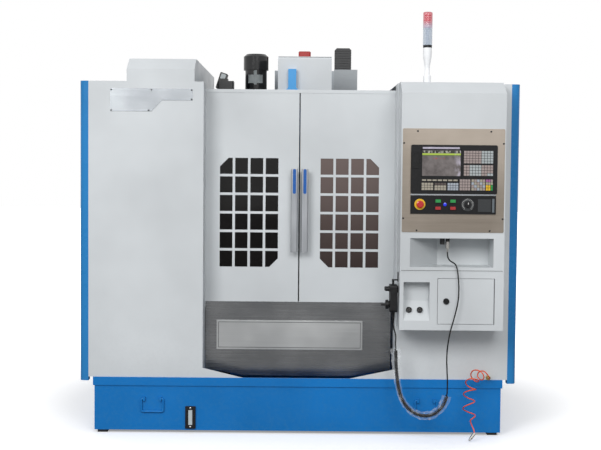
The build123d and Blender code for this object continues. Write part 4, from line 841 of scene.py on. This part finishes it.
plate_outline = [(-966, 1767), (-545, 1767), (-545, 1705.5), (-702, 1705.5), (-755, 1649), (-966, 1649)]
name_plate = cut_sheet(plate_outline, panel_face - plate_thickness, plate_thickness + seat, plate_bevel)
make_piece("name_plate", name_plate, mirror_steel)
apron_left, apron_right, apron_low, apron_high = -428, 337, 416, 570
inset, line = 9, 3
plate_front = apron_face - plate_thickness
border_front, border_back = apron_face - 1.4, apron_face - 1.0
apron_plate = slab(
    apron_left, apron_right, plate_front, apron_face + seat, apron_low, apron_high, plate_bevel
)
make_piece("apron_plate", apron_plate, plate_steel)
border = [
    slab(x_low, x_high, border_front, border_back, z_low, z_high)
    for x_low, x_high, z_low, z_high in (
        (apron_left + inset, apron_right - inset, apron_high - inset - line, apron_high - inset),
        (apron_left + inset, apron_right - inset, apron_low + inset, apron_low + inset + line),
        (apron_left + inset, apron_left + inset + line, apron_low + inset, apron_high - inset),
        (apron_right - inset - line, apron_right - inset, apron_low + inset, apron_high - inset),
    )
]
make_piece("apron_plate_border", together(*border), border_ink)
print("apron plate in millimetres:", apron_right - apron_left, "by", apron_high - apron_low)


# %% Screw heads
def pan_head(x, y, z, radius, tall):
    """A domed screw head on a face that looks towards -Y."""
    dome = [
        (radius, -seat), (radius, 0.35 * tall), (0.86 * radius, 0.72 * tall), (0.55 * radius, tall),
        (0, tall),
    ]
    return turned(dome, (x, y, z), "Y", 20)


def cross_recess(x, y, z, radius, tall):
    """The dark cross in a screw head, a hair proud of its dome."""
    arm, half = 0.55 * radius, 0.12 * radius
    front, back = y - tall - 0.05, y - 0.8 * tall
    level = slab(x - arm, x + arm, front, back, z - half, z + half)
    return together(level, slab(x - half, x + half, front, back, z - arm, z + arm))


def screw_set(name, places, face, radius, tall):
    """Two pieces: all the heads of a set, and all their crosses."""
    heads = [pan_head(x, face, z, radius, tall) for x, z in places]
    make_piece(name, together(*heads), black_gloss, smooth=True)
    recesses = [cross_recess(x, face, z, radius, tall) for x, z in places]
    make_piece(name + "_recesses", together(*recesses), cast_black)


name_screws = [(-959.5, 1759), (-755.5, 1759), (-551, 1759), (-551, 1712), (-769.5, 1655), (-959.5, 1655)]
screw_set("name_plate_screws", name_screws, panel_face - plate_thickness, 4.2, 2.2)
control_screws = [(x, z) for x in (580, 941) for z in (1067, 1556)]
control_screws += [(x, z) for x in (513, 1004) for z in (1126, 1497)]
screw_set("control_plate_screws", control_screws, plate_face, 4.6, 2.8)
print("screws:", len(name_screws) + len(control_screws))

# %% [markdown]
# ## The control unit
# First the screen: a thin glowing slab, set a little back in a raised rim, with a glossy visor strip above,
# whose pale, patchy colour is a painted reflection.

# %% Screen
unit_face = plate_face - 12
screen_left, screen_right, screen_low, screen_high = 602, 792, 1336, 1462
screen_front, screen_back = unit_face + 1.4, unit_face + 3.0 + seat
screen = slab(screen_left, screen_right, screen_front, screen_back, screen_low, screen_high, 0.4)
make_piece("screen", screen, screen_glow)
rim_side, rim_end, lap = 5, 4, 0.5
rim_left, rim_right = screen_left - rim_side, screen_right + rim_side
rim_low, rim_high = screen_low - rim_end, screen_high + rim_end
rim = [
    slab(x_low, x_high, unit_face - 0.8, unit_face + 2.0, z_low, z_high, 0.5)
    for x_low, x_high, z_low, z_high in (
        (rim_left, rim_right, screen_high - lap, rim_high),
        (rim_left, rim_right, rim_low, screen_low + lap),
        (rim_left, screen_left + lap, rim_low, rim_high),
        (screen_right - lap, rim_right, rim_low, rim_high),
    )
]
make_piece("screen_rim", together(*rim), unit_plastic)
# The strip's pale colour is a painted reflection.
visor = slab(604, 786, unit_face - 1.6, unit_face + seat, 1468.5, 1478, 0.9)
make_piece("screen_visor_painted_reflection", visor, visor_painted_reflection)
print("screen in millimetres:", screen_right - screen_left, "by", screen_high - screen_low)

# %% [markdown]
# The keys stand in fields, each an even grid of small bevelled caps. A loop fills a field, and a small
# function says which colour a cap has by its column and row. All caps of one colour become one piece, so
# that the whole keyboard is a handful of objects and not hundreds.

# %% Keys
cap_finishes = {
    "warm": key_warm, "cool": key_cool, "beige": key_beige, "dark": key_dark, "magenta": key_magenta,
    "yellow": ring_yellow, "green": start_green, "sky": key_sky,
}
caps = {colour: [] for colour in cap_finishes}


def key_block(x_low, x_high, z_low, z_high, columns, rows, colour_at, gap=1.7):
    """Fills a field with key caps; colour_at names a colour from the column and the row, top row first."""
    wide, tall = (x_high - x_low) / columns, (z_high - z_low) / rows
    for column in range(columns):
        for row in range(rows):
            x, z = x_low + column * wide + gap / 2, z_high - (row + 1) * tall + gap / 2
            cap = slab(x, x + wide - gap, unit_face - 2.3, unit_face - 0.6, z, z + tall - gap, 0.6, 1)
            caps[colour_at(column, row)].append(cap)


side_left, side_right = 806.5, 951.5
foot_row, short_row, tall_row = 1265.5, 1303, 1321.5


def lower_colour(column, row):
    """The lower field beside the screen: a cool block and a cool corner among warm caps."""
    return "cool" if 2 <= column < 6 or (column > 7 and row > 2) else "warm"


def mixed_colour(column, row):
    """A field whose caps take turns."""
    return ("beige", "sky", "warm")[(2 * column + row) % 3]


def end_colour(column, row):
    """The last keys on the right: magenta at the top, yellow in the middle, green in the corner."""
    if row == 0:
        return "magenta" if column < 2 else "warm"
    if row == 1:
        return "beige"
    return "yellow" if column < 2 else "green"


print("colours of caps:", len(caps))

# %% [markdown]
# Each field is given by its corners, by how many columns and rows it has, and by its colours.

# %% Key fields
key_block(side_left, side_right, 1398.5, 1461.5, 10, 5, lambda column, row: "warm" if column < 6 else "cool")
key_block(side_left, side_right, 1337.5, 1391.5, 10, 4, lower_colour)
key_block(600, 780, 1309, tall_row, 7, 1, lambda column, row: "beige", 5)
key_block(600, 658, foot_row, short_row, 4, 3, lambda column, row: "beige")
key_block(664, 722, foot_row, short_row, 4, 3, lambda column, row: "dark" if row == 0 else "beige")
key_block(728, 782, foot_row, short_row, 4, 3, lambda column, row: "sky")
key_block(787, 841, foot_row, tall_row, 4, 4, lambda column, row: "warm")
key_block(845, 914, foot_row, tall_row, 5, 4, mixed_colour)
key_block(916, side_right, foot_row, tall_row, 3, 4, end_colour)
print("key caps:", sum(len(shapes) for shapes in caps.values()))
for colour, shapes in caps.items():
    make_piece(f"keys_{colour}", together(*shapes), cap_finishes[colour])

# %% [markdown]
# The switch panel has the ring under the emergency stop, a blue indicator, a dial with ticks round the
# override knob, a bare insert plate and a grey strip beside it. A bright strip runs above the panel, and
# a dark line runs across the box lower down. Round parts are turned and the ticks are one small slab,
# turned step by step round the dial's middle.

# %% Switch panel
switch_face = plate_face - 8
row_z = 1196
ring_profile = [(8.8, -seat), (27.4, -seat), (27.4, 2.4), (26.6, 3.12), (8.8, 3.12)]
make_piece("stop_ring", turned(ring_profile, (594, switch_face, row_z), "Y", 40), ring_yellow, smooth=True)
lens_profile = [(9.3, -seat), (9.3, 5.0), (8.3, 7.1), (5.0, 8.0), (0, 8.2)]
indicator = turned(lens_profile, (717, switch_face, row_z), "Y", 28)
make_piece("indicator", indicator, indicator_blue, smooth=True)
dial_x = 830
dial_profile = [(15.8, -seat), (32, -seat), (32, 0.3), (31.6, 0.5), (15.8, 0.5)]
make_piece("dial", turned(dial_profile, (dial_x, switch_face, row_z), "Y", 48), dial_grey)
ticks = []
tick_count, first_tick, tick_sweep = 21, -140, 280
for index in range(tick_count):
    reach = 28.5 if index % 5 else 30.5
    tick = slab(dial_x - 0.5, dial_x + 0.5, switch_face - 0.8, switch_face - 0.4, row_z + 22, row_z + reach)
    to_place = Matrix.Rotation(math.radians(first_tick + tick_sweep * index / (tick_count - 1)), 3, "Y")
    bmesh.ops.rotate(tick, cent=(dial_x, 0, row_z), matrix=to_place, verts=tick.verts)
    ticks.append(tick)
make_piece("dial_ticks", together(*ticks), pointer_white)
knob_front = switch_face - 21.8
pointer = slab(dial_x - 1.4, dial_x + 1.4, knob_front - 1.0, knob_front, row_z + 1, row_z + 11.4, 0.2)
make_piece("override_pointer", pointer, pointer_white, "override_knob")
make_piece("blank_plate", slab(880, 944, switch_face - 0.8, switch_face + seat, 1161, 1223, 0.4), dial_grey)
make_piece("edge_strip", slab(950, 961, switch_face - 0.7, switch_face + seat, 1158, 1226, 0.3), strip_grey)
seam_strip = slab(548, 969, plate_face - 1.0, plate_face + seat, 1240.5, 1247.5, 0.3)
make_piece("seam_strip", seam_strip, mirror_steel)
(box_left, box_front, _), (box_right, _, _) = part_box("control_box")
box_left, box_front, box_right, dark_line_z = 1000 * box_left, 1000 * box_front, 1000 * box_right, 868
# A thin dark line across the front of the box.
dark_line = slab(box_left + 6, box_right - 6, box_front - 0.5, box_front + seat, dark_line_z - 1.1, dark_line_z + 1.1)
make_piece("box_dark_line", dark_line, border_ink)
print("ticks on the dial:", tick_count)

# %% [markdown]
# ## Sockets, gauge and handles
# Two round sockets sit on the sloping wall of the pocket, each with a rim, a face and three pins. It is
# easiest to turn them looking straight ahead at the origin, and to tip and move each part onto the slope
# afterwards.

# %% Pocket sockets
wall_depth, wall_low, wall_high = 60, 618, 712
wall_y, wall_z, socket_reach = -980, 665, 10
slope = math.atan2(wall_depth, wall_high - wall_low)
outwards = Vector((0, -math.cos(slope), math.sin(slope)))


def on_slope(shape, x):
    """Turns a shape made looking towards -Y, at the origin, onto the pocket's sloping wall."""
    place = Vector((x, wall_y, wall_z)) + socket_reach * outwards
    bmesh.ops.rotate(shape, cent=(0, 0, 0), matrix=Matrix.Rotation(-slope, 3, "X"), verts=shape.verts)
    bmesh.ops.translate(shape, vec=place, verts=shape.verts)
    return shape


rim_profile = [(11.5, -seat), (14.6, -seat), (14.6, 2.2), (13.6, 3), (11.5, 3)]
face_profile = [(11.5, -seat), (11.5, 0.6), (0, 0.6)]
pin_profile = [(1.6, 0), (1.6, 2.2), (1.0, 2.8), (0, 2.8)]
socket_places, pin_count, pin_circle = (550, 604), 3, 6
socket_rims, socket_faces, socket_pins = [], [], []
for x in socket_places:
    socket_rims.append(on_slope(turned(rim_profile, (0, 0, 0)), x))
    socket_faces.append(on_slope(turned(face_profile, (0, 0, 0)), x))
    for index in range(pin_count):
        angle = math.radians(90 + 360 / pin_count * index)
        place = (pin_circle * math.cos(angle), 0, pin_circle * math.sin(angle))
        socket_pins.append(on_slope(turned(pin_profile, place, "Y", 10), x))
make_piece("socket_rims", together(*socket_rims), black_gloss, smooth=True)
make_piece("socket_faces", together(*socket_faces), black_plastic)
make_piece("socket_pins", together(*socket_pins), nickel, smooth=True)
print("socket pins:", len(socket_places) * pin_count)

# %% [markdown]
# The level gauge on the tank is a black frame of four bars round a pale window, with a bolt above and
# below it. The bars overlap at the corners, so no hole has to be cut.

# %% Tank gauge
gauge_x, gauge_low, gauge_high, gauge_face = -551, 25, 140, -818
gauge_front, half_width, half_gap = gauge_face - 2.5, 26.5, 10
bar_height, window_inset, bolt_inset = 19, 18, 9
gauge_frame = [
    slab(x_low, x_high, gauge_front, gauge_face + 8, z_low, z_high, 1.2)
    for x_low, x_high, z_low, z_high in (
        (gauge_x - half_width, gauge_x - half_gap, gauge_low, gauge_high),
        (gauge_x + half_gap, gauge_x + half_width, gauge_low, gauge_high),
        (gauge_x - half_gap - 2, gauge_x + half_gap + 2, gauge_high - bar_height, gauge_high),
        (gauge_x - half_gap - 2, gauge_x + half_gap + 2, gauge_low, gauge_low + bar_height),
    )
]
make_piece("gauge_frame", together(*gauge_frame), black_plastic)
window = slab(
    gauge_x - half_gap - 0.5, gauge_x + half_gap + 0.5, gauge_face - 1.0, gauge_face + seat,
    gauge_low + window_inset, gauge_high - window_inset, 0.4,
)
make_piece("gauge_window", window, gauge_pale)
bolt_heights = (gauge_low + bolt_inset, gauge_high - bolt_inset)
bolts = [pan_head(gauge_x, gauge_front, z, 5, 2.4) for z in bolt_heights]
make_piece("gauge_bolts", together(*bolts), screw_steel, smooth=True)
print("gauge height:", gauge_high - gauge_low)

# %% [markdown]
# Each door has a blue insert at the top of its handle, and a dark strip on the edge where it meets the
# other, which darkens the gap between the doors. Both ride on their door, so that they slide with it. The
# insert's ends are round, which a wide bevel on its four short edges gives.

# %% Handle inserts
handle_low_corner, handle_high_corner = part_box("left_handle")
handle_front, handle_high = 1000 * handle_low_corner[1], 1000 * handle_high_corner[2]
insert_front, insert_back = handle_front - 0.9, handle_front + 1.5 + seat
insert_half, end_radius = 8.2, 8
for side, x in (("left", -26), ("right", 28.5)):
    insert = slab(
        x - insert_half, x + insert_half, insert_front, insert_back, handle_high - 128.7, handle_high - 0.3
    )
    short = [edge for edge in insert.edges if abs(edge.verts[0].co.y - edge.verts[1].co.y) > 1]
    soften(insert, short, end_radius, 6)
    make_piece(f"{side}_handle_insert", insert, insert_blue, f"{side}_door", smooth=True)
print("handle inserts in millimetres:", 2 * insert_half, "wide")

# %% Dark strips in the gap where the doors meet
door_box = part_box("left_door")
door_face, edge_low, edge_high = 1000 * door_box[0][1], 1000 * door_box[0][2], 1000 * door_box[1][2]
edge_width, edge_gap = 2.8, 2
for side, x_low in (("left", -3.4), ("right", 0.6)):
    z_low, z_high = edge_low + edge_gap, edge_high - edge_gap
    edge = slab(x_low, x_low + edge_width, door_face - 0.5, door_face + 16, z_low, z_high, 0.4)
    make_piece(f"{side}_door_gap_strip", edge, rubber, f"{side}_door")
print("height of the rubber edges:", round(edge_high - edge_low - 2 * edge_gap, 1))

# %% [markdown]
# ## The signal lamp
# The lamp replaces the plain one of the model: a white pole in a stepped collar, a dark ring, a clear
# lens with a ribbed core inside it, and a red lens over a small board of lamps. Everything is turned
# round one upright axis, and the lenses are thin shells with partial opacity, so the parts inside them
# show.

# %% Signal lamp
lamp_x, lamp_y = 638, -860
lamp_low, lamp_high = 1803, 2156
lens_low, lens_split, lens_radius = 1990, 2076, 23.4


def on_lamp(profile, steps):
    """A part turned round the lamp's axis."""
    return turned(profile, (lamp_x, lamp_y, 0), "Z", steps)


def lamp_part(name, profile, finish):
    """One smooth shell of the lamp."""
    return make_piece(name, on_lamp(profile, 40), finish, smooth=True)


pole = lamp_part(
    "lamp_pole",
    [(0, lamp_low - 2), (18.5, lamp_low - 2), (19, 1805), (19, 1836), (17.5, 1838), (13, 1845), (12.8, 1880),
     (14, 1890), (20.2, 1926), (21.6, 1940), (22, 1978), (0, 1978)],
    pole_chrome,
)
lamp_part(
    "lamp_ring",
    [(0, 1977.5), (20.5, 1977.5), (22.4, 1979), (22.4, 1988), (23.2, 1990.5), (0, 1990.5)],
    cast_black,
)
lamp_part("lamp_pale_lens", [(lens_radius - 0.3, lens_low), (lens_radius - 0.3, lens_split)], lens_pale)
lamp_part(
    "lamp_red_lens",
    [(lens_radius, lens_split), (lens_radius, lamp_high - 5), (lens_radius - 1.6, lamp_high - 1.6),
     (lens_radius - 5, lamp_high), (0, lamp_high)],
    lens_red,
)
print("lamp in millimetres:", lamp_high - lamp_low, "high")

# %% [markdown]
# A ribbed core stands inside the pale lens, and a board with rows of small lamps inside the red one.

# %% Lamp core and board
core_radius, rib_radius, rib_count, core_high = 9, 19, 9, lens_split - 1
core = [on_lamp([(0, lens_low), (core_radius, lens_low), (core_radius, core_high), (0, core_high)], 24)]
for index in range(rib_count):
    z = lens_low + (index + 0.5) * (lens_split - lens_low) / rib_count
    rib_profile = [(8.5, z - 2.6), (rib_radius, z - 1.2), (rib_radius, z + 1.2), (8.5, z + 2.6)]
    core.append(on_lamp(rib_profile, 32))
make_piece("lamp_core", together(*core), core_white, smooth=True)
board_sides, board_radius, board_high = 12, 14, lamp_high - 8
diode_rows, first_row, row_step, diode_circle = 6, lens_split + 10, 11.5, 15.5
diode_profile = [(0, -3), (2.6, -3), (2.6, 1), (1.8, 3), (0, 3.6)]
lamps = []
for side in range(board_sides):
    angle = math.radians(360 / board_sides * side + 15)
    for row in range(diode_rows):
        place = (
            lamp_x + diode_circle * math.cos(angle), lamp_y + diode_circle * math.sin(angle),
            first_row + row_step * row,
        )
        lamps.append(turned(diode_profile, place, "Z", 10))
board_profile = [(0, lens_split), (board_radius, lens_split), (board_radius, board_high), (0, board_high)]
make_piece("lamp_board", on_lamp(board_profile, board_sides), lamp_board_red)
make_piece("lamp_diodes", together(*lamps), diode_white, smooth=True)
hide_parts("signal_lamp")
print("lamps on the board:", board_sides * diode_rows)

# %% [markdown]
# ## Above the doors
# The tool changer's motor has a bare label and a pale strap, and the leaning cable box of the magazine's
# motor has a grey plate. The label and the strap are a row of upright strips bent round the motor. Their new
# faces have no normals yet when solidify runs, so its second wall lies on the first and the sheets stay
# without thickness.

# %% Motors above the doors
motor_x, motor_y, motor_radius = -257, 50, 62.5


def wrapped(radius, start, end, z_low, z_high, steps=14):
    """A thin sheet bent round the motor, between two angles measured from straight ahead."""
    shape = bmesh.new()
    rows = []
    for z in (z_low, z_high):
        row = []
        for step in range(steps + 1):
            angle = math.radians(start + (end - start) * step / steps)
            x, y = motor_x + radius * math.sin(angle), motor_y - radius * math.cos(angle)
            row.append(shape.verts.new((x, y, z)))
        rows.append(row)
    for step in range(steps):
        shape.faces.new((rows[0][step], rows[0][step + 1], rows[1][step + 1], rows[1][step]))
    bmesh.ops.solidify(shape, geom=shape.faces[:], thickness=0.6)
    bmesh.ops.recalc_face_normals(shape, faces=shape.faces)
    return shape


make_piece("motor_label", wrapped(motor_radius + 0.5, -43, 40, 1854, 1902), key_cool, smooth=True)
make_piece("motor_strap", wrapped(motor_radius + 1.2, -9, 6, 1846, 1928, 4), key_cool, smooth=True)
box_x, box_z, box_face, box_lean = -451, 1862, -33, 18
box_plate = slab(box_x - 14, box_x + 14, box_face - 0.8, box_face + seat, box_z + 12, box_z + 42, 0.4)
lean = Matrix.Rotation(math.radians(box_lean), 3, "Y")
bmesh.ops.rotate(box_plate, cent=(box_x, 0, box_z), matrix=lean, verts=box_plate.verts)
make_piece("magazine_motor_plate", box_plate, key_cool)
print("lean of the cable box:", box_lean, "degrees")

# %% [markdown]
# ## The film on the cord
# The curly part of the pendant's cord is wrapped in loose clear film. It follows the cord as a flattened
# tube that is crinkled at random and opens a little at both ends. Its depth has an upper limit, so it
# stays inside the machine's box. Simulated cloth could do it too, but a walk along the line with a ring of
# points at each step is quick and comes out the same every time.

# %% Film sleeve
random.seed(11)
ring_step, ring_points, half_depth = 0.006, 22, 0.0092
mean_half_width, width_wave, forward = 0.0165, 0.0035, Vector((0, -1, 0))
sleeve_points = walk(middle_line(curl_route), ring_step)
first, last = int(0.02 * len(sleeve_points)), int(0.985 * len(sleeve_points))


def film_flare(share):
    """How much wider the film is at a share of its length; it opens towards both ends."""
    return 1.0 + 0.35 * max(0, 1 - share / 0.08) + 0.55 * max(0, 1 - (1 - share) / 0.14)


sleeve = bmesh.new()
rings = []
for index in range(first, last):
    here, along = sleeve_points[index]
    side = along.cross(forward).normalized()
    share = (index - first) / (last - first)
    half_width = (mean_half_width + width_wave * math.sin(9 * share + 1)) * film_flare(share)
    ring = []
    for point in range(ring_points):
        angle = 2 * math.pi * point / ring_points
        crinkle = 1 + random.uniform(-0.16, 0.16) + 0.08 * math.sin(3 * angle + index * 0.7)
        offset = side * math.cos(angle) * half_width * crinkle
        offset += forward * math.sin(angle) * min(half_depth, half_depth * crinkle)
        ring.append(sleeve.verts.new((here + offset) * 1000))
    rings.append(ring)
for before, after in zip(rings, rings[1:]):
    for point in range(ring_points):
        beside = (point + 1) % ring_points
        sleeve.faces.new((before[point], before[beside], after[beside], after[point]))
film = make_piece("film_sleeve", sleeve, clear_film)
film.data.shade_flat()
print("rings in the film:", len(rings))

# %% [markdown]
# ## What the cords are
# The pendant's cord leaves the pendant through a tapered relief and ends in the round plug under the
# control plate. The air hose leaves its fitting on the right front panel and ends in the metal coupler.
# Each is measured along its own line, and its length is printed.


# %% Cord facts
def spline_length(cord):
    """The length of a cord's curve, read from a copy without thickness."""
    bare = cord.data.copy()
    bare.bevel_depth = 0
    probe = bpy.data.objects.new("probe", bare)
    scene.collection.objects.link(probe)
    line = bpy.data.meshes.new_from_object(probe)
    total = length_of([vertex.co.copy() for vertex in line.vertices])
    bpy.data.objects.remove(probe)
    bpy.data.meshes.remove(line)
    return total


cord_length = spline_length(pendant_cord)
hose_length = spline_length(air_hose)
print("cord and hose in metres:", round(cord_length, 3), round(hose_length, 3))

# %% [markdown]
# ## The studio
# The machine stands on a plain white floor in even, soft light. One large area light from the front left
# does most of the work, a weaker one comes from the front right, a third over the roof brightens the top
# faces, and the pale world fills in the rest. The world is white to the eye, to reflections and to what
# is seen through clear film, and greyer as a light, which keeps the paint at a plain level. The floor
# keeps the machine's shadow and fades out to the same white a few metres away.

# %% World
world = bpy.data.worlds.new("studio")
world.use_nodes = True
scene.world = world
world_tree = world.node_tree
background = world_tree.nodes["Background"]
path = world_tree.nodes.new("ShaderNodeLightPath")
seen_directly = path.outputs["Is Camera Ray"]
for kind in ("Is Glossy Ray", "Is Transmission Ray"):
    either = world_tree.nodes.new("ShaderNodeMath")
    either.operation = "MAXIMUM"
    world_tree.links.new(seen_directly, either.inputs[0])
    world_tree.links.new(path.outputs[kind], either.inputs[1])
    seen_directly = either.outputs[0]
light_grey, white = (0.47, 0.48, 0.50, 1), (1, 1, 1, 1)
mix = world_tree.nodes.new("ShaderNodeMix")
mix.data_type = "RGBA"
mix.inputs[6].default_value = light_grey
mix.inputs[7].default_value = white
world_tree.links.new(seen_directly, mix.inputs[0])
world_tree.links.new(mix.outputs[2], background.inputs["Color"])
background.inputs["Strength"].default_value = 1.0
print("nodes in the world:", len(world_tree.nodes))

# %% [markdown]
# The floor is one large flat grid. Its glow grows from the machine outwards, and only for the camera.

# %% Floor
floor_white = paint_colour("F2F2F2")
floor_finish = Finish(
    "studio_floor", floor_white, roughness=0.6, specular_ior_level=0.2, emission_strength=1.0
)
seen = floor_finish.node("LightPath", {}, {}, "Is Camera Ray")
mottle = floor_finish.noise(3, detail=2)
pale = floor_finish.blend(mottle * 0.05, floor_white, paint_colour("E4E4E4"))
floor_finish.set("Base Color", floor_finish.blend(seen, paint_colour("8A8A8A"), pale))
away = floor_finish.node("VectorMath", {"operation": "LENGTH"}, {0: floor_finish.place()}, "Value")
fade_start, fade_end, glow_under_machine = 1.3, 2.6, 0.30
fade = floor_finish.between(away, fade_start, fade_end, glow_under_machine, 1.0) * seen
floor_finish.set("Emission Color", floor_finish.blend(fade, (0, 0, 0, 1), white))
ground = bmesh.new()
floor_half = 30
bmesh.ops.create_grid(ground, x_segments=2, y_segments=2, size=floor_half)
floor_mesh = bpy.data.meshes.new("studio_floor")
ground.to_mesh(floor_mesh)
ground.free()
floor = bpy.data.objects.new("studio_floor", floor_mesh)
scene.collection.objects.link(floor)
floor_mesh.materials.append(floor_finish.material)
print("floor in metres:", 2 * floor_half, "square")

# %% [markdown]
# Each light is a square that looks at a place on the machine.

# %% Lights
def soft_light(name, place, target, size, power):
    """A square white area light that looks at its target."""
    data = bpy.data.lights.new(name, "AREA")
    data.size = size
    data.energy = power
    light = bpy.data.objects.new(name, data)
    scene.collection.objects.link(light)
    light.location = place
    light.rotation_mode = "QUATERNION"
    light.rotation_quaternion = (Vector(target) - Vector(place)).to_track_quat("-Z", "Y")


soft_light("front_left", (-3.0, -6.9, 4.5), (0.1, -0.8, 1.0), 3.0, 250)
soft_light("front_right", (1.3, -7.2, 4.3), (0.4, -0.8, 0.8), 2.8, 160)
soft_light("overhead", (-0.6, -1.5, 5.4), (0, 0, 1.0), 4.0, 18)

scene.view_settings.view_transform = "Standard"
